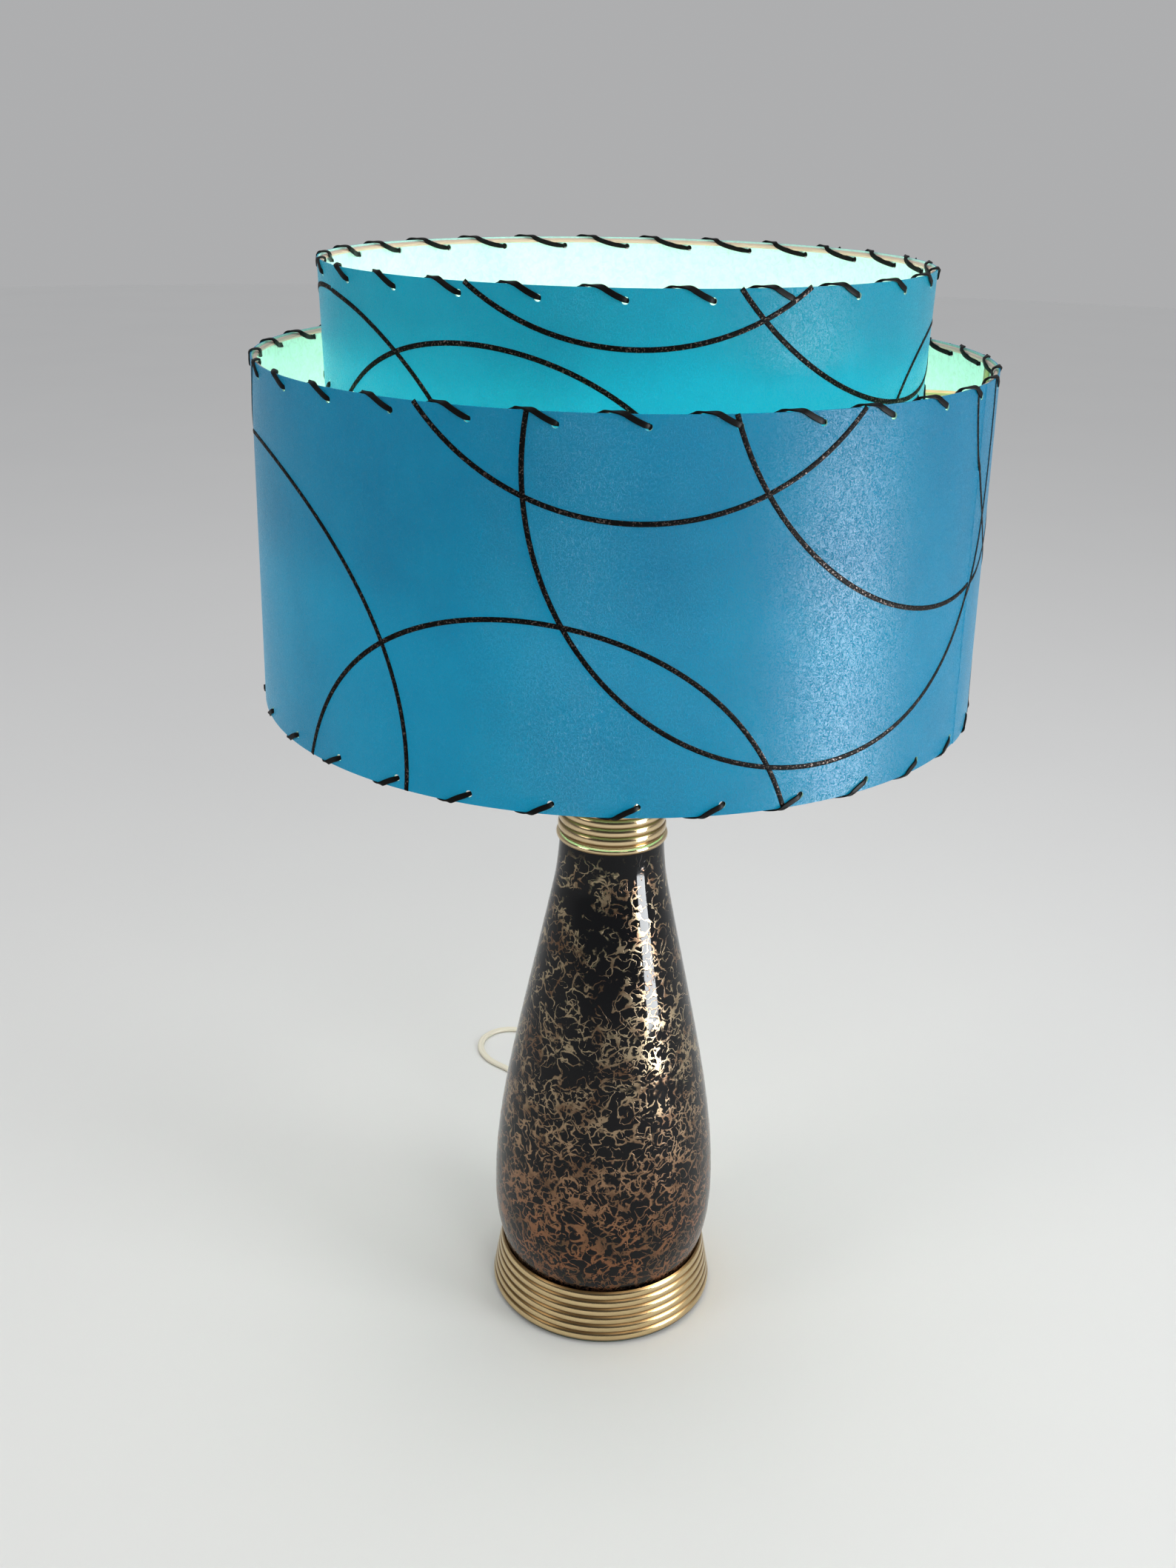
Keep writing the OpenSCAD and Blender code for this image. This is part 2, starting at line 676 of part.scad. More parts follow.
finial_z = hub_plate_z + hub_plate_t + 0.3;

module finial_base() {
    color("goldenrod") difference() {
        union() {
            cylinder_from(8.5, finial_z, finial_z + 2.4);
            cylinder_from(5.4, finial_z + 2.4, finial_z + 9);
        }
        cylinder_from(stud_r + running, finial_z - 1, finial_z + 10);
    }
}

module finial_knob() {
    z0 = finial_z + 9.2;
    outline = concat([[0, z0], [6, z0]], arc_points([0, z0 + 8.5], 9, -70, 60, 14),
        [[3.4, z0 + 17.4], [2.6, z0 + 19.6], [0, z0 + 21]]);
    color("goldenrod") difference() {
        rotate_extrude() polygon(outline);
        for (a = [0 : 30 : 330]) rotate([0, 0, a]) translate([9.6, 0, z0])
            cylinder(r = 1.1, h = 18, $fn = 24);
    }
}

// ---- Cord ----

module cord_bushing() {
    color("ivory") translate([0, 66, exit_z]) rotate([-90, 0, 0]) {
        cylinder(r = 4.5, h = base_r - 66);
        translate([0, 0, base_r - 66 + 0.6]) cylinder(r = 6, h = 2);
        translate([0, 0, base_r - 66]) cylinder(r = 4.5, h = 1);
        translate([0, 0, base_r - 66 + 2.6]) cylinder(r1 = 5, r2 = 3.2, h = exit_y - base_r - 2.6 - gap);
    }
}

module cord_lead() {
    color("ivory") flat_cord(lead_route, 2);
}

module cord_coil() {
    height = coil_layers * cord_t;
    edge = cord_t / 2;
    color("ivory") translate([coil_x, coil_y, 0]) rotate_extrude() polygon(concat(
        [[coil_inner_r - cord_w / 2, edge], [coil_inner_r - cord_w / 2 + edge, 0],
            [coil_r + cord_w / 2 - edge, 0], [coil_r + cord_w / 2, edge]],
        [[coil_r + cord_w / 2, height - edge], [coil_r + cord_w / 2 - edge, height],
            [coil_inner_r - cord_w / 2 + edge, height], [coil_inner_r - cord_w / 2, height - edge]]));
}

module cord_tail() {
    color("ivory") flat_cord(tail_route, 2);
}

// Cross-section of the plug, wide and low, with rounded corners
module plug_slice(w, h, y) {
    translate([plug_x, y, plug_z]) rotate([90, 0, 0]) linear_extrude(height = 0.5)
        offset(r = 3) square([w - 6, h - 6], center = true);
}

module plug_body() {
    shoulder_y = plug_y - 12;
    grip_y = plug_y - 22;
    color("ivory") {
        hull() {
            plug_slice(10, 9, plug_y - gap);
            plug_slice(24, 13.6, shoulder_y);
        }
        hull() {
            plug_slice(24, 13.6, shoulder_y);
            plug_slice(22, 13.6, grip_y);
        }
        hull() {
            plug_slice(26, 13.8, grip_y);
            plug_slice(26, 13.8, plug_y - plug_l);
        }
    }
}

module plug_blades() {
    color("silver") for (x = [-6.35, 6.35]) difference() {
        translate([plug_x + x - 0.75, plug_y - plug_l - 17.5, plug_z - 3.175]) cube([1.5, 16.9, 6.35]);
        translate([plug_x + x - 2, plug_y - plug_l - 14.5, plug_z]) rotate([0, 90, 0])
            cylinder(r = 1.6, h = 4, $fn = 24);
    }
}

felt_pad();
base_cup();
base_weight();
bottom_washer();
bottom_nut();
threaded_pipe();
ceramic_body();
neck_washer();
neck_cap();
neck_tube();
neck_nut();
harp_saddle();
socket_cap();
set_screw();
socket_insulator();
socket_shell();
socket_interior();
screw_shell();
centre_contact();
terminal_screws();
inner_lead();
switch_shaft();
switch_knob();
bulb_foot();
bulb_base();
bulb_glass();
bulb_stem();
harp_wire();
harp_stud();
harp_ferrule_left();
harp_ferrule_right();
spider();
ring_upper_top();
ring_upper_bottom();
ring_lower_top();
ring_lower_bottom();
upper_tier();
lower_tier();
lace_upper_top();
lace_upper_bottom();
lace_lower_top();
lace_lower_bottom();
finial_base();
finial_knob();
cord_bushing();
cord_lead();
cord_coil();
cord_tail();
plug_body();
plug_blades();
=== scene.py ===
"""Looks for the two-tier laced table lamp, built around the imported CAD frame, in metres, +Z up."""

import math

import bpy
from mathutils import Matrix, Vector


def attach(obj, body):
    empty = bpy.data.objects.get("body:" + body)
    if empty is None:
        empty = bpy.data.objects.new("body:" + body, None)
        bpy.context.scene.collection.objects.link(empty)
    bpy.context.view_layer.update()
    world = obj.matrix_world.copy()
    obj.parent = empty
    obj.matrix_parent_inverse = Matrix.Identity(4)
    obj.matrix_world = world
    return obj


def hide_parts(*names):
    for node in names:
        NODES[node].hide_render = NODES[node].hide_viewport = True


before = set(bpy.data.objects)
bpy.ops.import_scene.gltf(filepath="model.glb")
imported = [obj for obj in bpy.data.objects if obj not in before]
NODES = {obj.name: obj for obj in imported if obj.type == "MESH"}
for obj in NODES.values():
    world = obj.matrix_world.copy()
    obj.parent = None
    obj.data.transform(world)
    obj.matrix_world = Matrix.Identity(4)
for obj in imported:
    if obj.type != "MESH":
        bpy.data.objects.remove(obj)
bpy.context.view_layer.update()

SCENE = bpy.context.scene
MM = 0.001
FRONT = -90  # the angle from +X of the lamp's front, -Y


# ---------------------------------------------------------------- camera and scene


def make_camera():
    """The photograph's viewing angle, solved from the rims of the shade and the base."""
    pitch, yaw, roll = (math.radians(a) for a in (22.563, -0.970, 1.088))
    ahead = Vector((math.sin(yaw) * math.cos(pitch), math.cos(yaw) * math.cos(pitch), -math.sin(pitch)))
    level = Vector((math.cos(yaw), -math.sin(yaw), 0))
    up = level.cross(ahead)
    right = math.cos(roll) * level + math.sin(roll) * up
    up = math.cos(roll) * up - math.sin(roll) * level
    data = bpy.data.cameras.new("camera")
    data.sensor_width, data.lens = 36, 36.83
    data.clip_start, data.clip_end = 0.05, 50
    camera = bpy.data.objects.new("camera", data)
    SCENE.collection.objects.link(camera)
    camera.matrix_world = Matrix.Translation((0, -0.8999, 0.7387)) @ Matrix(
        (right, up, -ahead)).transposed().to_4x4()
    SCENE.camera = camera


make_camera()


# ---------------------------------------------------------------- shapes


def piece(name, points, faces, looks, body, slot, replaces=(), sharp=40, which=None):
    """A mesh from points in millimetres, that rides on a body and stands for CAD nodes."""
    data = bpy.data.meshes.new(name)
    data.from_pydata([Vector(p) * MM for p in points], [], faces)
    for look in looks if isinstance(looks, (list, tuple)) else [looks]:
        data.materials.append(look)
    if which is not None:
        data.polygons.foreach_set("material_index", which)
    data.polygons.foreach_set("use_smooth", [True] * len(data.polygons))
    data.set_sharp_from_angle(angle=math.radians(sharp))
    data.validate()
    data.update()
    made = bpy.data.objects.new(name, data)
    SCENE.collection.objects.link(made)
    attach(made, body)
    if replaces:
        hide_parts(*replaces)
    return made


def joined(*parts):
    """Several (points, faces) as one."""
    points, faces = [], []
    for p, f in parts:
        start = len(points)
        points += p
        faces += [[i + start for i in face] for face in f]
    return points, faces


def skin(rings, closed=False, caps=True):
    """Faces over rings of points, each ring closed. Pole rings are a single repeated point."""
    n, count = len(rings[0]), len(rings)
    points = [p for ring in rings for p in ring]
    faces = []
    for i in range(count if closed else count - 1):
        a, b = i * n, (i + 1) % count * n
        faces += [[a + j, a + (j + 1) % n, b + (j + 1) % n, b + j] for j in range(n)]
    if caps and not closed:
        faces.append(list(range(n))[::-1])
        faces.append([(count - 1) * n + j for j in range(n)])
    return points, faces


def turned(profile, steps=144, radius=None, centre=(0, 0, 0), axis="z"):
    """A closed profile of (radius, height) turned about +Z, or about +Y.

    radius(r, h, angle) may flute or thread it."""
    rings = []
    for k in range(steps):
        a = 2 * math.pi * k / steps
        ring = []
        for r, h in profile:
            q = radius(r, h, a) if radius else r
            x, y = q * math.cos(a), q * math.sin(a)
            p = (x, y, h) if axis == "z" else (x, h, -y)
            ring.append((p[0] + centre[0], p[1] + centre[1], p[2] + centre[2]))
        rings.append(ring)
    points, faces = skin(rings, closed=True)
    return tidy(points, faces)


def tidy(points, faces):
    """Joins points that share a place, as at a pole, and drops faces that this empties."""
    seen, kept, where = {}, [], []
    for p in points:
        key = tuple(round(c, 5) for c in p)
        if key not in seen:
            seen[key] = len(kept)
            kept.append(p)
        where.append(seen[key])
    out = []
    for f in faces:
        g = []
        for i in f:
            if where[i] not in g:
                g.append(where[i])
        if len(g) > 2:
            out.append(g)
    return kept, out


def arc(cx, cy, r, start, end, steps):
    return [(cx + r * math.cos(math.radians(start + (end - start) * i / steps)),
             cy + r * math.sin(math.radians(start + (end - start) * i / steps))) for i in range(steps + 1)]


def smooth(points, steps):
    """A Catmull-Rom curve through points of any dimension, steps to each stretch."""
    out = []
    for k in range(len(points) - 1):
        a, b = points[max(k - 1, 0)], points[k]
        c, d = points[k + 1], points[min(k + 2, len(points) - 1)]
        for i in range(steps):
            t = i / steps
            out.append(tuple(0.5 * (2 * q + (r - p) * t + (2 * p - 5 * q + 4 * r - s) * t * t
                                    + (3 * q - p - 3 * r + s) * t ** 3) for p, q, r, s in zip(a, b, c, d)))
    return out + [tuple(points[-1])]


def sweep(path, section, up=None, closed=False):
    """A section of (side, up) points carried along a path. up is a fixed vector or one for each point."""
    path = [Vector(p) for p in path]
    rings, last = [], len(path) - 1
    for i, p in enumerate(path):
        if closed:
            ahead = path[(i + 1) % len(path)] - path[i - 1]
        else:
            ahead = path[min(i + 1, last)] - path[max(i - 1, 0)]
        ahead.normalize()
        above = Vector(up[i] if isinstance(up, list) else up)
        side = ahead.cross(above).normalized()
        above = side.cross(ahead)
        shape = section(i) if callable(section) else section
        rings.append([tuple(p + side * a + above * b) for a, b in shape])
    return skin(rings, closed=closed)


def round_section(r, n=16):
    return [(r * math.cos(2 * math.pi * k / n), r * math.sin(2 * math.pi * k / n)) for k in range(n)]


def rounded_box(w, h, r, n=3):
    """A rounded rectangle's outline, counter-clockwise."""
    out = []
    for k, (sx, sy) in enumerate(((1, 1), (-1, 1), (-1, -1), (1, -1))):
        out += arc(sx * (w / 2 - r), sy * (h / 2 - r), r, 90 * k, 90 * k + 90, n)
    return out


def polar(r, degrees, z):
    a = math.radians(degrees)
    return (r * math.cos(a), r * math.sin(a), z)


# ---------------------------------------------------------------- materials


class Look:
    """A Principled material and short ways to wire its nodes."""

    def __init__(self, name, colour=(0.5, 0.5, 0.5), roughness=0.5, **values):
        self.material = bpy.data.materials.new(name)
        self.material.use_nodes = True
        self.tree = self.material.node_tree
        self.shader = self.tree.nodes["Principled BSDF"]
        self.set("Base Color", (*colour, 1))
        self.set("Roughness", roughness)
        for key, value in values.items():
            self.set(key.replace("_", " ").title().replace("Ior", "IOR"), value)
        self.at = self.add("ShaderNodeTexCoord").outputs["Object"]

    def add(self, kind, values=None, **settings):
        made = self.tree.nodes.new(kind)
        for key, value in settings.items():
            setattr(made, key, value)
        for key, value in (values or {}).items():
            self.feed(made.inputs[key], value)
        return made

    def feed(self, socket, value):
        if isinstance(value, bpy.types.NodeSocket):
            self.tree.links.new(value, socket)
        else:
            socket.default_value = value

    def set(self, name, value):
        self.feed(self.shader.inputs[name], value)

    def noise(self, scale, detail=2, roughness=0.5, distortion=0, at=None):
        return self.add("ShaderNodeTexNoise", {
            "Vector": at or self.at, "Scale": scale, "Detail": detail, "Roughness": roughness,
            "Distortion": distortion}).outputs["Fac"]

    def math(self, kind, a, b=0.0, c=0.0):
        return self.add("ShaderNodeMath", {0: a, 1: b, 2: c}, operation=kind).outputs[0]

    def span(self, value, low, high, out_low=0.0, out_high=1.0, kind="SMOOTHSTEP"):
        return self.add("ShaderNodeMapRange", {
            "Value": value, "From Min": low, "From Max": high, "To Min": out_low, "To Max": out_high},
            interpolation_type=kind).outputs["Result"]

    def mix(self, factor, a, b):
        made = self.add("ShaderNodeMix", data_type="RGBA")
        for socket, value in ((0, factor), (6, a), (7, b)):
            if isinstance(value, tuple) and len(value) == 3:
                value = (*value, 1)
            self.feed(made.inputs[socket], value)
        return made.outputs[2]

    def stretched(self, x, y, z):
        return self.add("ShaderNodeMapping", {"Vector": self.at, "Scale": (x, y, z)}).outputs["Vector"]

    def height(self):
        return self.add("ShaderNodeSeparateXYZ", {0: self.at}).outputs["Z"]

    def bump(self, height, distance, strength=1.0):
        self.set("Normal", self.add("ShaderNodeBump", {
            "Height": height, "Distance": distance, "Strength": strength}).outputs["Normal"])


def metal(name, colour, roughness, smudge=0.08, patch=28, scratch=0.00001):
    """A metal with faint smudges, and fine marks from polishing."""
    look = Look(name, colour, roughness, metallic=1.0)
    cloud = look.noise(patch, 4, 0.6)
    fine = look.noise(900, 3, 0.6, at=look.stretched(1, 1, 0.15))
    look.set("Roughness", look.span(cloud, 0.3, 0.75, max(roughness - smudge / 2, 0.03), roughness + smudge))
    dark = tuple(c * 0.82 for c in colour)
    look.set("Base Color", look.mix(look.span(cloud, 0.35, 0.8), colour, dark))
    look.bump(fine, scratch, 0.35)
    return look.material


def ribbed_brass(name, colour, roughness, low, high, count):
    """Spun brass, darker in the grooves between its ribs: tarnish there, and painted shade."""
    look = Look(name, colour, roughness, metallic=1.0)
    cloud = look.noise(24, 4, 0.6)
    fine = look.noise(900, 3, 0.6, at=look.stretched(0.12, 0.12, 1))
    # Darker in every groove: tarnish, and painted shade between the ribs.
    wave = look.math("PINGPONG", look.math("DIVIDE", look.math("SUBTRACT", look.height(), low),
                                           (high - low) / count / 2), 1.0)
    groove_tarnish_and_shade = look.span(look.math("MULTIPLY_ADD", cloud, 0.22, wave), 0.2, 0.85, 1.0, 0.0)
    worn = look.mix(look.span(cloud, 0.35, 0.8), colour, tuple(c * 0.8 for c in colour))
    look.set("Base Color", look.mix(groove_tarnish_and_shade, worn, tuple(c * q for c, q in zip(colour, (0.26, 0.2, 0.14)))))
    worn_rough = look.span(cloud, 0.3, 0.75, roughness, roughness + 0.08)
    look.set("Roughness", look.math("MULTIPLY_ADD", groove_tarnish_and_shade, 0.22, worn_rough))
    look.bump(fine, 0.00002, 0.4)
    return look.material


def plastic(name, colour, roughness, grain=1400, depth=0.00002, patch=40, specular=0.5):
    """A moulded or vinyl surface: faint mottling and a fine grain."""
    look = Look(name, colour, roughness, ior=1.5, specular_ior_level=specular)
    cloud = look.noise(patch, 3, 0.55)
    look.set("Base Color", look.mix(cloud, colour, tuple(c * 0.86 for c in colour)))
    look.set("Roughness", look.span(cloud, 0.3, 0.7, roughness - 0.06, roughness + 0.08))
    look.bump(look.noise(grain, 3, 0.6), depth, 0.5)
    return look.material


def glaze():
    """High-gloss black glaze under a broken web of metallic gold, coppery near the foot."""
    black = (0.002, 0.002, 0.003)
    look = Look("black_glaze_with_gold", black, 0.05, ior=1.5, specular_ior_level=0.2)

    def warped(start, scale, reach):
        """The same point pushed about by a noise."""
        wander = look.add("ShaderNodeTexNoise", {"Vector": look.at, "Scale": scale, "Detail": 3.0})
        shift = look.add("ShaderNodeVectorMath", {0: wander.outputs["Color"], 1: (0.5, 0.5, 0.5)},
                         operation="SUBTRACT").outputs[0]
        return look.add("ShaderNodeVectorMath", {0: shift, 1: (reach, reach, reach), 2: start},
                        operation="MULTIPLY_ADD").outputs[0]

    z = look.height()
    soft = warped(look.at, 160.0, 0.0045)
    bent = warped(warped(look.at, 70.0, 0.010), 260.0, 0.0042)

    def web(scale, thick, low, high):
        """Cell walls drawn as lines that swell and break off."""
        cells = look.add("ShaderNodeTexVoronoi", {"Vector": bent, "Scale": scale},
                         feature="DISTANCE_TO_EDGE").outputs["Distance"]
        width = look.span(look.noise(scale * 1.6, 4, 0.65), low, high, 0.0001, thick, "LINEAR")
        return look.span(look.math("DIVIDE", cells, width), 0.6, 1.2, 1.0, 0.0)

    def trail(scale, thick, low, high):
        """Curling lines that follow the middle level of a soft noise, swelling and breaking off."""
        level = look.math("ABSOLUTE", look.math("SUBTRACT", look.noise(scale, 0.6, 0.5, 0.3, at=soft), 0.5))
        width = look.span(look.noise(scale * 1.2, 3, 0.6), low, high, 0.0001, thick, "LINEAR")
        width = look.math("MULTIPLY", width, look.span(z, 0.06, 0.22, 1.6, 1.0, "LINEAR"))
        return look.span(look.math("DIVIDE", level, width), 0.6, 1.2, 1.0, 0.0)

    more = look.span(z, 0.30, 0.06, 0.0, 0.13, "LINEAR")
    lines = look.math("MAXIMUM", trail(96, 0.040, 0.36, 0.66), trail(135, 0.046, 0.40, 0.68))
    lines = look.math("MAXIMUM", lines, look.math("MULTIPLY", web(130, 0.14, 0.42, 0.70), look.span(
        look.noise(34, 3, 0.55), look.math("SUBTRACT", 0.54, more), look.math("SUBTRACT", 0.60, more))))
    bare = look.span(look.noise(42, 4, 0.62), look.math("SUBTRACT", 0.42, more), look.math("SUBTRACT", 0.48, more))
    neck = look.span(z, 0.318, 0.332, 1.0, 0.0)
    gold = look.math("MULTIPLY", look.math("MULTIPLY", lines, bare), neck)
    tone = look.mix(look.span(z, 0.06, 0.21), (0.25, 0.115, 0.06), (0.34, 0.265, 0.17))
    tone = look.mix(look.span(look.noise(55, 3, 0.6), 0.34, 0.62), (0.13, 0.075, 0.045), tone)
    look.set("Base Color", look.mix(gold, black, tone))
    look.set("Metallic", look.math("MULTIPLY", gold, 0.9))
    look.set("Roughness", look.math("MULTIPLY_ADD", gold, 0.24, 0.045))
    look.bump(look.math("ADD", gold, look.math("MULTIPLY", look.noise(30, 2), 0.35)), 0.00008, 0.6)
    return look.material


def fiberglass(name, colour, deep, glow, low, high, glow_low, glow_high):
    """The outside of a tier: fibrous painted fiberglass, with a painted glow: an emission, graded by height, that
    stands in for the bulb's light coming through it.
    """
    look = Look(name, colour, 0.4, ior=1.5, specular_ior_level=0.21)
    fibres = look.noise(820, 4, 0.68, 1.8, at=look.stretched(1, 1, 0.55))
    crossed = look.noise(760, 3, 0.7, 2.4, at=look.stretched(0.7, 1.3, 1.2))
    strands = look.math("MAXIMUM", look.span(fibres, 0.52, 0.64), look.span(crossed, 0.54, 0.66))
    specks = look.noise(1700, 2, 0.7)
    cloud = look.noise(17, 4, 0.6)
    shade = look.mix(look.span(cloud, 0.3, 0.72), colour, deep)
    # Lighter fibres: the sheet's own mottling, and partly a painted sparkle of light on the fibres.
    shade = look.mix(look.math("MULTIPLY", strands, 0.3), shade, tuple(min(c * 1.35 + 0.012, 1) for c in colour))
    look.set("Base Color", shade)
    look.set("Roughness", look.math("MULTIPLY_ADD", strands, -0.15, 0.29))
    # Painted glow: an emission that stands in for the bulb's light through the sheet, graded by height and made
    # uneven by a cloud and by the fibres.
    z = look.height()
    rise = look.span(z, low, high, glow_low, glow_high)
    uneven_glow = look.span(look.noise(11, 4, 0.62), 0.25, 0.75, 0.62, 1.3, "LINEAR")
    grain = look.span(look.math("MULTIPLY_ADD", specks, 0.6, look.math("MULTIPLY", fibres, 0.4)),
                      0.3, 0.7, 0.84, 1.14, "LINEAR")
    lit = look.math("MULTIPLY", look.math("MULTIPLY", rise, uneven_glow), grain)
    look.set("Emission Color", look.mix(lit, (0, 0, 0), glow))
    look.set("Emission Strength", 1.0)
    look.bump(look.math("MULTIPLY_ADD", specks, 0.9, strands), 0.00016, 0.8)
    return look.material


def lining(name, colour, glow):
    """The unpainted inside of a tier, lit by the bulb, with a painted glow on it: an emission that adds to the
    bulb's light.
    """
    look = Look(name, colour, 0.62, ior=1.5)
    fibres = look.noise(260, 5, 0.72, 1.0)
    cloud = look.noise(14, 4, 0.6)
    pale = tuple(min(c * 1.12, 1) for c in colour)
    look.set("Base Color", look.mix(look.span(fibres, 0.35, 0.72), pale, tuple(c * 0.84 for c in colour)))
    # Painted glow: emission that stands in for more of the bulb's light on the lining.
    look.set("Emission Color", look.mix(look.span(cloud, 0.3, 0.75), glow, tuple(c * 0.8 for c in glow)))
    look.set("Emission Strength", 1.0)
    look.bump(fibres, 0.0003, 0.5)
    return look.material


def glitter_black():
    """Black trim line with coarse brownish glitter."""
    black = (0.002, 0.002, 0.002)
    look = Look("glitter_black", black, 0.5, ior=1.5, specular_ior_level=0.06)
    fleck = look.span(look.noise(1050, 2, 0.65), 0.565, 0.65)
    look.set("Base Color", look.mix(fleck, black, (0.11, 0.085, 0.075)))
    look.set("Metallic", look.math("MULTIPLY", fleck, 0.5))
    look.set("Roughness", look.span(fleck, 0.0, 1.0, 0.6, 0.3, "LINEAR"))
    look.bump(look.noise(1300, 3, 0.6), 0.0001, 0.5)
    return look.material


def felt():
    look = Look("felt", (0.03, 0.085, 0.045), 0.95, sheen_weight=0.5, sheen_roughness=0.5)
    hair = look.noise(1600, 5, 0.75, 1.2)
    look.set("Base Color", look.mix(look.span(hair, 0.35, 0.7), (0.02, 0.06, 0.03), (0.055, 0.14, 0.075)))
    look.bump(hair, 0.0005, 0.8)
    return look.material


def cast_iron():
    look = Look("cast_iron", (0.05, 0.05, 0.05), 0.7, metallic=0.6)
    sand = look.noise(700, 5, 0.7)
    look.set("Base Color", look.mix(look.span(sand, 0.35, 0.7), (0.03, 0.03, 0.032), (0.09, 0.08, 0.075)))
    look.bump(sand, 0.0006, 0.8)
    return look.material


def lit_bulb():
    """Inside-frosted glass, lit: a hot middle and a slightly darker neck."""
    look = Look("frosted_bulb", (0.95, 0.93, 0.88), 0.35, ior=1.5)
    z = look.height()
    hot = look.math("MULTIPLY", look.span(z, 0.484, 0.515), look.span(look.noise(22, 3), 0.2, 0.8, 0.94, 1.0))
    look.set("Emission Color", look.mix(hot, (1.0, 0.66, 0.36), (1.0, 0.93, 0.80)))
    look.set("Emission Strength", 6.0)
    return look.material


def clear_glass():
    look = Look("clear_glass", (0.9, 0.93, 0.93), 0.08, ior=1.5, transmission_weight=0.8)
    look.set("Roughness", look.span(look.noise(90, 3), 0.3, 0.7, 0.04, 0.12))
    return look.material


def bulb_insulator():
    """Black glass cone with a solder contact at its tip."""
    look = Look("bulb_insulator", (0.012, 0.012, 0.014), 0.15, ior=1.5)
    tip = look.span(look.height(), 0.4476, 0.4480, 1.0, 0.0)
    drops = look.noise(500, 3)
    look.set("Base Color", look.mix(tip, (0.012, 0.012, 0.014), (0.55, 0.55, 0.54)))
    look.set("Metallic", tip)
    look.set("Roughness", look.span(drops, 0.3, 0.7, 0.12, 0.36))
    look.bump(drops, 0.00015, 0.5)
    return look.material


def card():
    look = Look("insulator_card", (0.45, 0.33, 0.2), 0.85)
    fibre = look.noise(500, 5, 0.7, at=look.stretched(1, 1, 0.3))
    look.set("Base Color", look.mix(fibre, (0.36, 0.26, 0.16), (0.55, 0.42, 0.27)))
    look.bump(fibre, 0.0002, 0.5)
    return look.material


POLISHED = metal("polished_brass", (0.80, 0.58, 0.27), 0.12, 0.07)
FOOT_BRASS = ribbed_brass("foot_brass", (0.70, 0.53, 0.29), 0.09, 0.0024, 0.0368, 6)
CAP_BRASS = ribbed_brass("cap_brass", (0.72, 0.56, 0.33), 0.09, 0.3381, 0.36, 4)
SATIN = metal("satin_brass", (0.72, 0.55, 0.28), 0.3, 0.12)
ZINC = metal("zinc_steel", (0.6, 0.6, 0.57), 0.34, 0.14)
ALUMINIUM = metal("aluminium", (0.78, 0.78, 0.77), 0.24, 0.1)
NICKEL = metal("nickel_blade", (0.72, 0.69, 0.63), 0.2, 0.1)
PHENOLIC = plastic("phenolic", (0.018, 0.014, 0.012), 0.28)
IVORY_CORD = plastic("ivory_cord", (0.80, 0.74, 0.60), 0.42)
IVORY_PLUG = plastic("ivory_plug", (0.78, 0.72, 0.57), 0.35)
LACE = plastic("black_lace", (0.003, 0.003, 0.003), 0.48, 1800, 0.00006, specular=0.08)
RING_WIRE = plastic("ring_wire", (0.62, 0.46, 0.36), 0.4)
GLITTER = glitter_black()
FELT, IRON, CARD = felt(), cast_iron(), card()
GLASS, CLEAR, INSULATOR = lit_bulb(), clear_glass(), bulb_insulator()
# The glow colours given to fiberglass() are painted glow: emission in place of the bulb's light coming through the
# sheet.
LOWER_OUT = fiberglass("lower_fiberglass", (0.0, 0.195, 0.37), (0.0, 0.165, 0.335), (0.0, 0.10, 0.15),
                       0.56, 0.50, 0.55, 1.0)
UPPER_OUT = fiberglass("upper_fiberglass", (0.0, 0.25, 0.39), (0.0, 0.215, 0.36), (0.004, 0.20, 0.265),
                       0.655, 0.612, 0.50, 1.0)
# The last colour of each lining is its painted glow.
LOWER_IN = lining("lower_lining", (0.42, 0.78, 0.63), (0.075, 0.142, 0.11))
UPPER_IN = lining("upper_lining", (0.50, 0.83, 0.75), (0.115, 0.18, 0.16))


# ---------------------------------------------------------------- cord

LEAD = [(0, 95, 8), (0, 102, 7.6), (-1, 110, 6), (-3, 119, 3.8), (-6, 128, 2.2), (-11, 139, 1.4),
        (-20, 155, 1.4), (-32, 173, 1.4), (-44, 193, 1.4), (-55, 215, 1.4), (-66, 233, 1.4), (-82, 248, 1.4),
        (-98, 261, 1.4), (-107, 278, 1.4), (-106, 296, 1.4), (-94, 309, 1.4), (-77, 311, 1.4), (-60, 303, 1.4),
        (-43, 291, 1.4), (-26, 278, 1.4), (-10, 265, 1.4), (5, 254, 1.4), (22, 248, 1.4)]
COIL_X, COIL_Y, COIL_R, COIL_PITCH, COIL_TURNS = 22, 207, 41, 5.5, 3
CORD_W, CORD_T = 5.4, 2.8
PLUG_X, PLUG_Y, PLUG_Z = 62, 150, 7


def ease(t):
    t = min(max(t, 0), 1)
    return t * t * (3 - 2 * t)


def coil_points():
    """Inward on the table, outward on top of that, and a quarter turn on top to where the tail leaves."""
    per_turn, climb = 44, 50
    out = []
    for layer, turns, start, end in ((0, COIL_TURNS, COIL_R, COIL_R - COIL_TURNS * COIL_PITCH),
                                     (1, COIL_TURNS, COIL_R - COIL_TURNS * COIL_PITCH, COIL_R),
                                     (2, 0.25, COIL_R, PLUG_X - COIL_X)):
        steps = int(turns * per_turn)
        for i in range(1, steps + 1):
            t = i / steps
            r = start + (end - start) * t
            rise = ease(t * turns * 360 / climb) if layer else 1
            z = CORD_T * (layer - 0.5 + rise) if layer else CORD_T / 2
            x, y, _ = polar(r, 90 - 360 * turns * t, 0)
            out.append((COIL_X + x, COIL_Y + y, z))
    return out


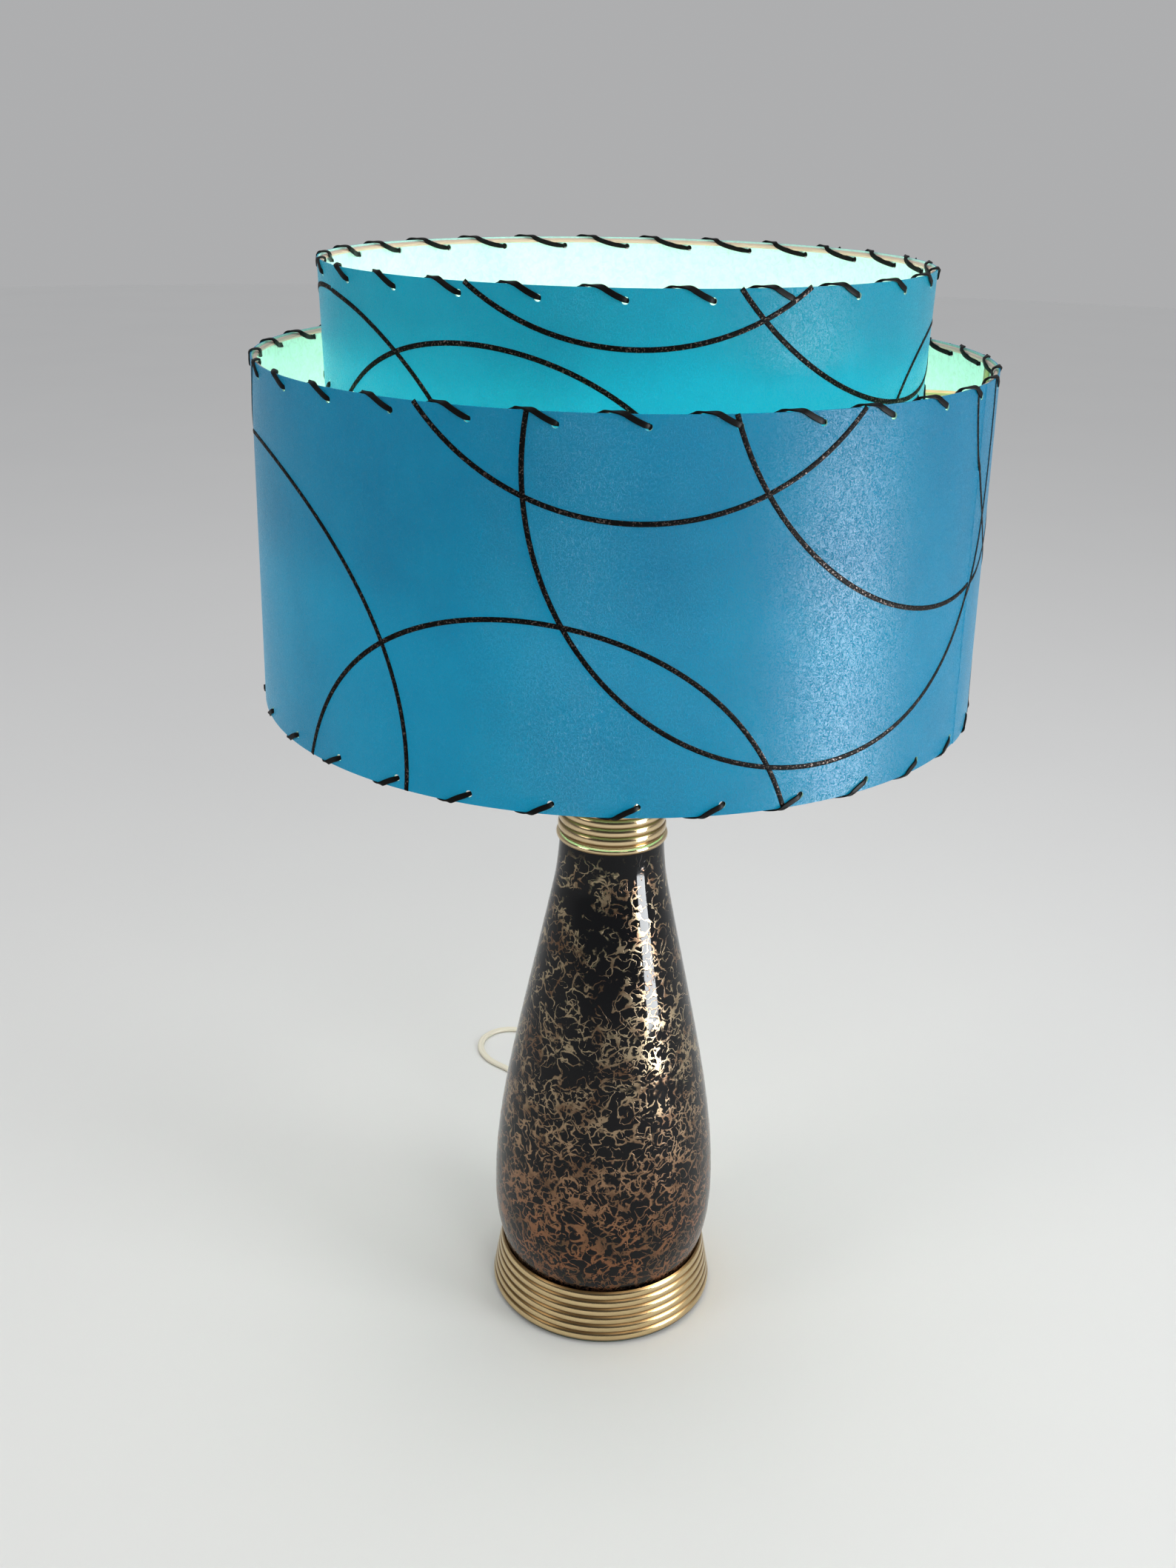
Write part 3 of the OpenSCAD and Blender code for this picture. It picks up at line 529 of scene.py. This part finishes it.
def cord_section():
    """Twin lead: two round conductors side by side, joined by a web."""
    lobe_r, valley = CORD_T / 2, 0.95
    off = CORD_W / 2 - lobe_r
    return (arc(off, 0, lobe_r, -125, 125, 8) + [(0, valley)] + arc(-off, 0, lobe_r, 55, 305, 8) + [(0, -valley)])


def make_cord():
    tail = [(PLUG_X, COIL_Y + (PLUG_Y - COIL_Y) * i / 12, PLUG_Z) for i in range(1, 13)]
    path = smooth(LEAD, 4) + coil_points() + tail
    flex = piece("cord", *sweep(path, cord_section(), (0, 0, 1)), IVORY_CORD, "root", "ivory_cord",
                 ("cord_lead", "cord_coil", "cord_tail"), 60)
    sizes = [(0.2, 8.6, 7.6), (2, 9.4, 8.4), (3, 7.6, 6.6), (4.2, 7.6, 6.6), (5, 10.6, 9.2), (6.2, 11, 9.6),
             (7, 9.8, 8.6), (8.2, 12.4, 10.4), (10, 17, 12.4), (12.5, 22.4, 13.5), (15, 23.6, 13.6),
             (18, 22.6, 13.1), (21, 22, 12.8), (21.7, 22.2, 12.9), (22.3, 25.4, 13.7), (23, 26, 13.8),
             (28.8, 26, 13.8), (29.6, 25.4, 13.4), (30, 24, 12.6)]
    rings = []
    for back, w, h in sizes:
        rings.append([(PLUG_X + a, PLUG_Y - back, PLUG_Z + b) for a, b in rounded_box(w, h, min(w, h) * 0.34, 5)])
    plug = piece("plug", *skin(rings), IVORY_PLUG, "root", "ivory_plug", ("plug_body",), 38)
    relief = [(2.8, 66), (4.5, 66), (4.5, 74.9), (5.6, 75), (6, 75.4), (6, 76.5), (5.6, 77)]
    for k in range(5):
        y, r = 78.2 + k * 3.1, 4.9 - k * 0.3
        relief += [(r - 0.55, y), (r - 0.55, y + 0.8), (r, y + 1.1), (r - 0.05, y + 2.6)]
    relief += [(3.3, 94.2), (3.0, 94.9), (2.75, 94.9)]
    piece("strain_relief", *turned(relief, 48, centre=(0, 0, 8), axis="y"), IVORY_PLUG, "root", "ivory_plug",
          ("cord_bushing",), 45)


make_cord()


# ---------------------------------------------------------------- base, body and neck


def ribs(r0, z0, r1, z1, count, depth, steps=10, crown=0.62):
    """The outline of beads one above another, with narrow grooves between them."""
    out = []
    for k in range(count * steps + 1):
        t, s = k / (count * steps), (k % steps) / steps
        out.append((r0 + (r1 - r0) * t + depth * abs(math.sin(math.pi * s)) ** crown, z0 + (z1 - z0) * t))
    return out


def make_base():
    piece("felt_ring", *turned([(20.4, 0.3), (21, 0.05), (71.4, 0), (72, 0.5), (72, 1.5), (71.6, 2), (21, 2),
                                (20, 1.4)], 128), FELT, "root", "felt", ("felt_pad",))
    outside = ribs(73.4, 2.4, 67.4, 36.8, 6, 1.0)
    profile = [(65.4, 2.1), (73.0, 2.1)] + outside + [(67.3, 37.0), (66.9, 36.9), (66.75, 36.2), (66.3, 25.1),
                                                     (5.1, 25.1), (5.1, 24), (68.4, 24), (72.2, 3.2), (65.4, 3.2)]
    piece("base_foot", *turned(profile, 192), FOOT_BRASS, "root", "polished_brass", ("base_cup",))


BODY_KNOTS = ((25.2, 59.8, 0.75), (31, 63.4, 0.45), (80, 72.3, 0), (185, 59.6, -0.2), (300, 35.6, -0.2),
              (336, 31.8, -0.06))


def body_outline(steps=10):
    out = []
    for (z0, r0, m0), (z1, r1, m1) in zip(BODY_KNOTS, BODY_KNOTS[1:]):
        h = z1 - z0
        for i in range(steps):
            t = i / steps
            out.append(((1 - 3 * t * t + 2 * t ** 3) * r0 + (3 * t * t - 2 * t ** 3) * r1
                        + (t - 2 * t * t + t ** 3) * h * m0 + (t ** 3 - t * t) * h * m1, z0 + h * t))
    return out + [(BODY_KNOTS[-1][1], BODY_KNOTS[-1][0])]


def make_body():
    outside = body_outline()
    wall = 5
    inside = [(r - wall, z) for r, z in outside[::-1]]
    piece("ceramic_vase", *turned(outside + inside, 192), glaze(), "root", "black_glaze", ("ceramic_body",))


def make_neck():
    bead = arc(31.9, 334.4, 2.4, -75, 75, 10)
    ribbed = ribs(32.6, 338.1, 30.7, 360, 4, 0.95)
    shoulder = [(9 + 21.7 * math.cos(math.radians(a)), 360 + 16 * math.sin(math.radians(a)))
                for a in range(8, 91, 7)]
    inside = [(5.1, 376), (5.1, 374.9), (9, 374.9), (28.3, 363), (29.6, 358), (31.4, 338.2), (32.2, 338),
              (32.2, 332.2)]
    piece("ribbed_neck_cap", *turned(bead + ribbed + shoulder + inside, 160), CAP_BRASS, "root",
          "polished_brass", ("neck_cap",))
    low, high = 376.1, 409
    tube = ([(5.1, low), (7.6, low)] + arc(7.6, low + 1.5, 1.5, -80, 80, 8)
            + [(7.6, low + 3.2), (6.9, low + 6), (6.6, 392), (6.9, high - 6), (7.6, high - 3.2)]
            + arc(7.6, high - 1.5, 1.5, -80, 80, 8) + [(7.6, high), (5.1, high)])
    piece("neck_spacer", *turned(tube, 72), POLISHED, "root", "polished_brass", ("neck_tube",))


make_base()
make_body()
make_neck()


# ---------------------------------------------------------------- socket, switch and bulb

THREAD_PITCH = 3.6286
BULB_Z, BULB_R = 529, 30


def threaded(depth, low, high):
    """Rounds a sleeve's radius into a screw thread of the lamp base's pitch."""
    def radius(r, z, angle):
        wave = 0.5 + 0.5 * math.cos(2 * math.pi * z / THREAD_PITCH - angle)
        return r - depth * (1 - wave) * ease((z - low) / 2) * ease((high - z) / 2)
    return radius


def sleeve(outer, wall, low, high, steps):
    up = [(outer, low + (high - low) * i / steps) for i in range(steps + 1)]
    return up + [(r - wall, z) for r, z in up[::-1]]


def make_socket():
    cap = [(5, 416.6), (7.6, 416.6), (8, 417), (8, 422.4), (8.6, 423)]
    cap += [(8.6 + 8.8 * math.cos(math.radians(a)), 432 - 9 * math.sin(math.radians(a))) for a in range(80, -1, -8)]
    cap += [(17.4, 435.8)] + arc(16.9, 436.4, 0.5, 0, 180, 5)
    cap += [(16.4, 432), (13.9, 426.6), (8, 423.6), (5, 423.6)]
    piece("socket_cup", *turned(cap, 96), SATIN, "root", "satin_brass", ("socket_cap",))
    shell = [(15.8, 433), (16.4, 433), (16.4, 443), (16.0, 443.6), (16.0, 445), (16.4, 445.6), (16.4, 455),
             (16.0, 455.6), (16.0, 457), (16.4, 457.6), (16.4, 475.6)] + arc(16.4, 477, 0.9, -100, 100, 8)
    shell += [(15.8, 478)]
    piece("socket_sleeve", *turned(shell, 96), SATIN, "root", "satin_brass", ("socket_shell",))
    piece("screw_sleeve", *turned(sleeve(13.85, 0.4, 452.1, 475, 60), 64, threaded(0.4, 452.1, 475)),
          ALUMINIUM, "root", "aluminium", ("screw_shell",))


def make_bulb():
    neck_z, neck_r = 482, 14
    hollow_r = (BULB_R ** 2 - neck_r ** 2 - (BULB_Z - neck_z) ** 2) / (2 * (neck_r - BULB_R))
    join = math.degrees(math.atan2(BULB_Z - neck_z, neck_r + hollow_r))
    outside = ([(0, 466.4), (12.4, 466.4), (12.4, 478.4), (13.4, 479.2), (14, 480.6)]
               + arc(neck_r + hollow_r, neck_z, hollow_r, 180, 180 - join, 12)
               + arc(0, BULB_Z, BULB_R, -join, 90, 26)[1:])
    glass = piece("lamp_glass", *turned(outside, 72), GLASS, "bulb", "bulb_glass", ("bulb_glass",), 60)
    glass.visible_shadow = False
    piece("lamp_cap", *turned(sleeve(13.1, 0.5, 452.3, 478.4, 72), 64, threaded(0.75, 452.3, 478.4)),
          ALUMINIUM, "bulb", "aluminium", ("bulb_base",))


make_socket()
make_bulb()


# ---------------------------------------------------------------- harp, spider and finial


def make_harp():
    half_w, leg_x, flare_r, flare, crown_r, crown_z = 57, 28, 40, 35, 45, 601.4
    leg_z0, leg_z1 = 432.4, 454
    end_x = leg_x + flare_r * (1 - math.cos(math.radians(flare)))
    end_z = leg_z1 + flare_r * math.sin(math.radians(flare))
    side_r = (half_w - end_x) / (1 - math.cos(math.radians(flare)))
    side_z = end_z + side_r * math.sin(math.radians(flare))
    half = ([(leg_x, leg_z0), (leg_x, leg_z0 + 8)] + arc(leg_x + flare_r, leg_z1, flare_r, 180, 180 - flare, 10)
            + arc(half_w - side_r, side_z, side_r, -flare, 0, 10)[1:]
            + arc(half_w - crown_r, crown_z - crown_r, crown_r, 0, 90, 22))
    line = [(x, 0, z) for x, z in half] + [(-x, 0, z) for x, z in half[::-1]]
    piece("harp_frame", *sweep(line, round_section(1.6), (0, 1, 0)), SATIN, "harp", "satin_brass",
          ("harp_wire",), 60)


def make_spider():
    plate = [(5.5, 607.6), (15, 607.6), (19, 607.9), (19.2, 608.5), (18.8, 609), (14.5, 608.9), (5.5, 609)]
    parts = [turned(plate, 72)]
    for turn in (0, 120, 240):
        spoke = [(13, 606.2), (20, 606.0)] + [(30 + 15 * k, 605.9 - 0.371 * k) for k in range(11)]
        spoke += arc(190, 609.5, 8, -88, 0, 8) + [(198, 613), (198, 618.7)]
        line = [(x * math.cos(math.radians(turn)), x * math.sin(math.radians(turn)), z) for x, z in spoke]
        across = (-math.sin(math.radians(turn)), math.cos(math.radians(turn)), 0)
        parts.append(sweep(line, round_section(1.5, 14), across))
        parts.append(turned([(0, 604.4), (3.4, 604.5), (4, 605.4), (3.6, 607.7), (0, 607.7)], 24,
                            centre=(15.2 * math.cos(math.radians(turn)), 15.2 * math.sin(math.radians(turn)), 0)))
    piece("spider_frame", *joined(*parts), SATIN, "shade", "satin_brass", ("spider",), 50)


def make_finial():
    z = 609.3
    base = [(3.2, z), (8.1, z), (8.5, z + 0.4), (8.5, z + 1.9), (8, z + 2.4), (6, z + 2.8), (5.2, z + 4.4),
            (5.2, z + 7.6), (5.8, z + 8.5), (5.4, z + 9), (3.2, z + 9)]
    piece("finial_foot", *turned(base, 72), POLISHED, "finial_base", "polished_brass", ("finial_base",))
    top = z + 9.2
    knob = ([(0, top), (5.6, top), (6.2, top + 0.4)] + arc(0, top + 8.5, 9, -48, 58, 22)
            + [(4.0, top + 16.6), (3.4, top + 17.4), (3.5, top + 18.2), (2.9, top + 19.6), (1.6, top + 20.7),
               (0, top + 21)])

    def fluted(r, h, angle):
        rise = ease((h - top - 1) / 3) * ease((top + 16 - h) / 3)
        return r * (1 - 0.075 * rise * (0.5 - 0.5 * math.cos(24 * angle)) ** 1.5)

    piece("finial_top", *turned(knob, 192, fluted), POLISHED, "finial", "polished_brass", ("finial_knob",), 60)


make_harp()
make_spider()
make_finial()


# ---------------------------------------------------------------- shade

SKIN_T, HOLE_R, HOLE_INSET, CELL = 0.8, 1.75, 5.4, 3.2
LAP_T, LAP_FLAT, LAP_W = 0.55, 10, 32


class Tier:
    """One drum of the shade: outer radius at its two rims, heights, and the angle and number of its stitches."""

    def __init__(self, name, r0, r1, z0, z1, stitches, phase, seam):
        self.name, self.r0, self.r1, self.z0, self.z1 = name, r0, r1, z0, z1
        self.stitches, self.phase, self.seam = stitches, phase, FRONT + seam
        self.mean = (r0 + r1) / 2

    def r(self, z):
        return self.r0 + (self.r1 - self.r0) * (z - self.z0) / (self.z1 - self.z0)

    def columns(self):
        """Angles right round the drum. Each comes with its stitch's number where a hole's patch starts."""
        pitch, half = 360 / self.stitches, math.degrees(CELL / self.mean)
        out = []
        for k in range(self.stitches):
            a = self.phase + k * pitch
            out += [(a - half + half * i / 2, i == 0) for i in range(4)]
            rest = [a + half + (pitch - 2 * half) * i / 7 for i in range(7)]
            edge = (self.seam - a) % 360 + a
            if rest[0] < edge < a + pitch - half:
                rest = sorted(rest + [edge - 0.12, edge])
            out += [(b, False) for b in rest]
        return out

    def lap(self, angle):
        """How far the sheet stands out where its end laps over its start."""
        past = math.radians((angle - self.seam) % 360) * self.mean
        return LAP_T * (1 - ease((past - LAP_FLAT) / (LAP_W - LAP_FLAT))) if past < LAP_W else 0

    def sheet(self, looks):
        columns = self.columns()
        rows = [self.z0] + [self.z0 + HOLE_INSET - CELL + CELL * i / 2 for i in range(5)]
        top = [self.z0 + self.z1 - z for z in rows[::-1]]
        gap = top[0] - rows[-1]
        middle = max(3, round(gap / 13))
        rows += [rows[-1] + gap * i / middle for i in range(1, middle)] + top
        n, m = len(columns), len(rows)
        first_rows = (1, m - 6)
        points = []
        for inward in (0, SKIN_T):
            for a, _ in columns:
                for z in rows:
                    points.append(polar(self.r(z) - inward + self.lap(a), a, z))
        size = n * m

        def v(side, i, j):
            return side * size + i % n * m + j

        faces, which, skipped = [], [], set()
        block = [(0, 0), (1, 0), (2, 0), (3, 0), (4, 0), (4, 1), (4, 2), (4, 3), (4, 4), (3, 4), (2, 4), (1, 4),
                 (0, 4), (0, 3), (0, 2), (0, 1)]
        sides = len(block)

        def face(side, quad):
            faces.append(quad if side == 0 else quad[::-1])
            which.append(side)

        for i, (a, starts) in enumerate(columns):
            if not starts:
                continue
            for j in first_rows:
                skipped.update(((i + p) % n, j + q) for p in range(4) for q in range(4))
                rings = []
                middle_a, middle_z = columns[(i + 2) % n][0], rows[j + 2]
                for side in (0, 1):
                    ring = []
                    for p, q in block:
                        turn = math.atan2(q - 2, p - 2)
                        z = middle_z + HOLE_R * math.sin(turn)
                        b = middle_a + math.degrees(HOLE_R * math.cos(turn) / self.mean)
                        ring.append(len(points))
                        points.append(polar(self.r(z) - SKIN_T * side + self.lap(middle_a), b, z))
                    rings.append(ring)
                    for k in range(sides):
                        (p, q), (s, t) = block[k], block[(k + 1) % sides]
                        face(side, [v(side, i + p, j + q), v(side, i + s, j + t), ring[(k + 1) % sides], ring[k]])
                for k in range(sides):
                    faces.append([rings[0][k], rings[0][(k + 1) % sides], rings[1][(k + 1) % sides], rings[1][k]])
                    which.append(1)
        for i in range(n):
            for j in range(m - 1):
                if (i, j) not in skipped:
                    for side in (0, 1):
                        face(side, [v(side, i, j), v(side, i + 1, j), v(side, i + 1, j + 1), v(side, i, j + 1)])
            faces.append([v(0, i, m - 1), v(0, i + 1, m - 1), v(1, i + 1, m - 1), v(1, i, m - 1)])
            faces.append([v(1, i, 0), v(1, i + 1, 0), v(0, i + 1, 0), v(0, i, 0)])
            which += [0, 0]
        used = sorted({k for f in faces for k in f})
        order = {k: c for c, k in enumerate(used)}
        piece(self.name + "_sheet", [points[k] for k in used], [[order[k] for k in f] for f in faces], looks,
              "shade", self.name + "_fiberglass", (self.name + "_tier",), 30, which)

    def ring(self, end, z):
        wire, gap, drop = 1.25, 0.1, 0.9
        r, mid = self.r(z) - SKIN_T - gap - wire, z + (-wire - drop if end == "top" else wire)
        profile = [(r + a, mid + b) for a, b in round_section(wire, 14)]
        name = f"ring_{self.name}_{end}"
        piece(name.replace("ring", "wire"), *turned(profile, 180), RING_WIRE, "shade", "ring_wire", (name,), 60)

    def lace(self, end, z, up):
        """Whip stitches: out through a hole, slanting over the rim, and slanting back inside to the next hole."""
        rim = self.r(z)
        pitch = 2 * math.pi * rim / self.stitches
        stitch = [(1.3, -5.8, -1.9, 0), (0.3, -5.3, -0.6, 0), (-1.4, -4.5, 0.45, 0), (-5, -2.8, 0.58, 0),
                  (-8.2, -1.0, 0.58, 5), (-10.2, 0.1, 0.4, 35), (-12.6, 0.58, -0.3, 70), (-15.6, 0.62, -1.6, 92),
                  (-17.8, 0.5, -2.9, 110), (-19.2, -0.2, -3.8, 150), (-20.6, -1.1, -4.2, 180),
                  (-25, -2.7, -4.15, 180), (-30, -4.0, -3.0, 180), (-pitch + 5, -4.9, -1.75, 180),
                  (-pitch + 1.6, -5.4, -1.35, 180), (-pitch - 0.3, -5.3, -0.7, 180)]
        line = smooth(stitch, 3)
        lace_w, lace_t, last = 2.8, 0.9, len(line) - 1
        widths = [lace_w * (0.66 + 0.34 * ease(min(i, last - i) / 7)) for i in range(len(line))]
        parts = []
        for k in range(self.stitches):
            start = self.phase + k * 360 / self.stitches
            jog = 0.35 * math.sin(k * 2.4 + z)
            path, ups = [], []
            for i, (s, h, out, normal) in enumerate(line):
                s += jog * ease(min(i, last - i) / 6)
                a = start + math.degrees(s / rim)
                lean = math.radians(normal)
                path.append(polar(rim + out + self.lap(a) * (out > -0.8), a, z + up * h))
                ups.append(polar(math.cos(lean), a, up * math.sin(lean)))
            parts.append(sweep(path, lambda i: rounded_box(widths[i], lace_t, 0.3, 2), ups))
        name = f"lace_{self.name}_{end}"
        piece(name + "_stitches", *joined(*parts), LACE, "shade", "black_lace", (name,), 50)

    def line(self, across, circles, width=2.5):
        """Raised lines that follow circles on the unrolled sheet. A circle is its centre's angle from the
        front, its height and radius, and the angles from which and to which it is drawn."""
        parts = []
        for number, (az, cz, r, start, end) in enumerate(circles):
            count = max(4, round(abs(end - start) / 2.5))
            stretches, now, last = [], [], None
            for x, h in arc(0, cz, r, start, end, count):
                within = self.z0 < h < self.z1
                if last and within != (self.z0 < last[1] < self.z1):
                    rim = self.z0 if min(h, last[1]) < self.z0 else self.z1
                    t = (rim - last[1]) / (h - last[1])
                    now.append((last[0] + (x - last[0]) * t, rim))
                if within:
                    now.append((x, h))
                elif now:
                    stretches.append(now)
                    now = []
                last = (x, h)
            stretches.append(now)
            lift = 0.24 + 0.03 * (number % 4)
            for points in stretches:
                if len(points) < 3:
                    continue
                path, ups = [], []
                for x, h in points:
                    a = FRONT + az + math.degrees(x / across)
                    path.append(polar(self.r(h) + self.lap(a), a, h))
                    ups.append(polar(1, a, 0))
                half = width / 2
                shape = [(half, -0.25), (half, lift * 0.45), (half - 0.35, lift), (0, lift + 0.04),
                         (0.35 - half, lift), (-half, lift * 0.45), (-half, -0.25)]
                parts.append(sweep(path, shape, ups))
        return parts


def make_shade():
    upper = Tier("upper", 162.2, 163.6, 604, 669.6, 26, FRONT, -63)
    lower = Tier("lower", 203.2, 200.4, 432, 621, 31, -86.7, 63)
    upper.sheet([UPPER_OUT, UPPER_IN])
    lower.sheet([LOWER_OUT, LOWER_IN])
    for tier in (upper, lower):
        for end, z, up in (("top", tier.z1, 1), ("bottom", tier.z0, -1)):
            tier.ring(end, z)
            tier.lace(end, z, up)
    lower_lines = [(-69.9, 444, 140, -10, 62), (-13.1, 390, 136, 0, 180), (2.7, 715, 142, 180, 360),
                   (28.6, 596, 144, 168, 372), (54.9, 665, 148, 180, 360),
                   (-69.9, 444, 140, 62, 190), (-108, 690, 145, 180, 360), (-140, 420, 138, 0, 180),
                   (118, 415, 140, 0, 180), (100, 640, 142, 185, 355), (150, 600, 144, 165, 375),
                   (176, 400, 137, 0, 180), (-165, 705, 142, 180, 360)]
    upper_lines = [(-68, 529.2, 129.3, 20, 140), (-26.4, 509, 133, 20, 160), (2.3, 783, 140, 200, 340),
                   (60.4, 762, 151, 200, 340), (79, 564, 79.5, 40, 160), (-118, 770, 146, 200, 340),
                   (128, 516, 134, 20, 160), (160, 780, 141, 200, 340), (-160, 509, 132, 20, 160)]
    piece("lower_lines", *joined(*lower.line(200, lower_lines)), GLITTER, "shade", "black_lace", (), 50)
    piece("upper_lines", *joined(*upper.line(163, upper_lines)), GLITTER, "shade", "black_lace", (), 50)


make_shade()


# ---------------------------------------------------------------- CAD nodes that stay

STAYING = {
    "base_weight": IRON, "bottom_washer": ZINC, "bottom_nut": ZINC, "threaded_pipe": ZINC, "neck_washer": ZINC,
    "neck_nut": SATIN, "harp_saddle": SATIN, "set_screw": ZINC, "socket_insulator": CARD,
    "socket_interior": PHENOLIC, "centre_contact": SATIN, "terminal_screws": SATIN, "inner_lead": IVORY_CORD,
    "switch_shaft": SATIN, "switch_knob": PHENOLIC, "bulb_foot": INSULATOR, "bulb_stem": CLEAR,
    "harp_stud": SATIN, "harp_ferrule_left": SATIN, "harp_ferrule_right": SATIN, "plug_blades": NICKEL,
}
for name, look in STAYING.items():
    for slot in NODES[name].material_slots:
        slot.material = look


# ---------------------------------------------------------------- floor and light


def make_floor():
    look = Look("pale_floor", (0.78, 0.77, 0.76), 0.7, specular_ior_level=0.03)
    cloud = look.noise(3, 3)
    look.set("Base Color", look.mix(cloud, (0.735, 0.725, 0.71), (0.71, 0.70, 0.69)))
    steps, reach = 96, 7.0
    points = [(0, 0, 0)] + [polar(reach, 360 * k / steps, 0) for k in range(steps)]
    faces = [(0, k + 1, (k + 1) % steps + 1) for k in range(steps)]
    data = bpy.data.meshes.new("floor")
    data.from_pydata(points, [], faces)
    data.materials.append(look.material)
    floor = bpy.data.objects.new("floor", data)
    floor.location.z = -0.0002
    SCENE.collection.objects.link(floor)


def area(name, where, target, width, height, power, colour=(1, 1, 1)):
    data = bpy.data.lights.new(name, "AREA")
    data.shape, data.size, data.size_y = "RECTANGLE", width, height
    data.energy, data.color = power, colour
    made = bpy.data.objects.new(name, data)
    made.location = where
    made.visible_camera = False
    made.rotation_euler = (Vector(target) - Vector(where)).to_track_quat("-Z", "Y").to_euler()
    SCENE.collection.objects.link(made)
    return made


def make_world():
    """A studio that is dark behind the camera and pale elsewhere, for the brass and the glaze to mirror."""
    world = bpy.data.worlds.new("studio")
    SCENE.world = world
    world.use_nodes = True
    nodes, links = world.node_tree.nodes, world.node_tree.links
    shown = nodes["Background"]
    shown.inputs["Color"].default_value = (0.422, 0.424, 0.43, 1)
    around = nodes.new("ShaderNodeBackground")
    way = nodes.new("ShaderNodeSeparateXYZ")
    links.new(nodes.new("ShaderNodeTexCoord").outputs["Generated"], way.inputs[0])
    level = None
    for axis, low, high, dim, bright in (("Y", -0.7, 0.9, 0.07, 0.45), ("Z", 0.3, 0.95, 0.0, 0.6)):
        span = nodes.new("ShaderNodeMapRange")
        span.interpolation_type = "SMOOTHSTEP"
        links.new(way.outputs[axis], span.inputs["Value"])
        for key, value in (("From Min", low), ("From Max", high), ("To Min", dim), ("To Max", bright)):
            span.inputs[key].default_value = value
        if level:
            total = nodes.new("ShaderNodeMath")
            links.new(level, total.inputs[0])
            links.new(span.outputs["Result"], total.inputs[1])
            level = total.outputs[0]
        else:
            level = span.outputs["Result"]
    links.new(level, around.inputs["Strength"])
    around.inputs["Color"].default_value = (0.95, 0.97, 1.0, 1)
    either = nodes.new("ShaderNodeMixShader")
    links.new(nodes.new("ShaderNodeLightPath").outputs["Is Camera Ray"], either.inputs[0])
    links.new(around.outputs[0], either.inputs[1])
    links.new(shown.outputs[0], either.inputs[2])
    links.new(either.outputs[0], nodes["World Output"].inputs["Surface"])


def make_light():
    window = area("window_right", (0.80, -0.40, 0.27), (0, -0.12, 0.3), 0.28, 0.42, 14, (0.95, 0.98, 1.0))
    window.visible_diffuse = False
    area("soft_right", (1.5, -0.7, 0.9), (0, 0, 0.45), 0.7, 0.9, 12, (0.95, 0.98, 1.0))
    area("soft_front", (0.75, -1.6, 1.6), (0, 0, 0.5), 0.6, 0.6, 7)
    area("soft_left", (-1.5, -0.9, 1.1), (0, 0, 0.4), 0.7, 0.9, 7, (1.0, 0.98, 0.95))
    area("soft_top", (0.2, 0.3, 2.4), (0, 0.1, 0.2), 1.8, 1.8, 11)
    data = bpy.data.lights.new("bulb_light", "POINT")
    data.energy, data.color, data.shadow_soft_size = 1.0, (1.0, 0.92, 0.78), 0.026
    bulb = bpy.data.objects.new("bulb_light", data)
    bulb.location = (0, 0, BULB_Z * MM)
    SCENE.collection.objects.link(bulb)
    SCENE.view_settings.view_transform = "Standard"


make_world()
make_floor()
make_light()
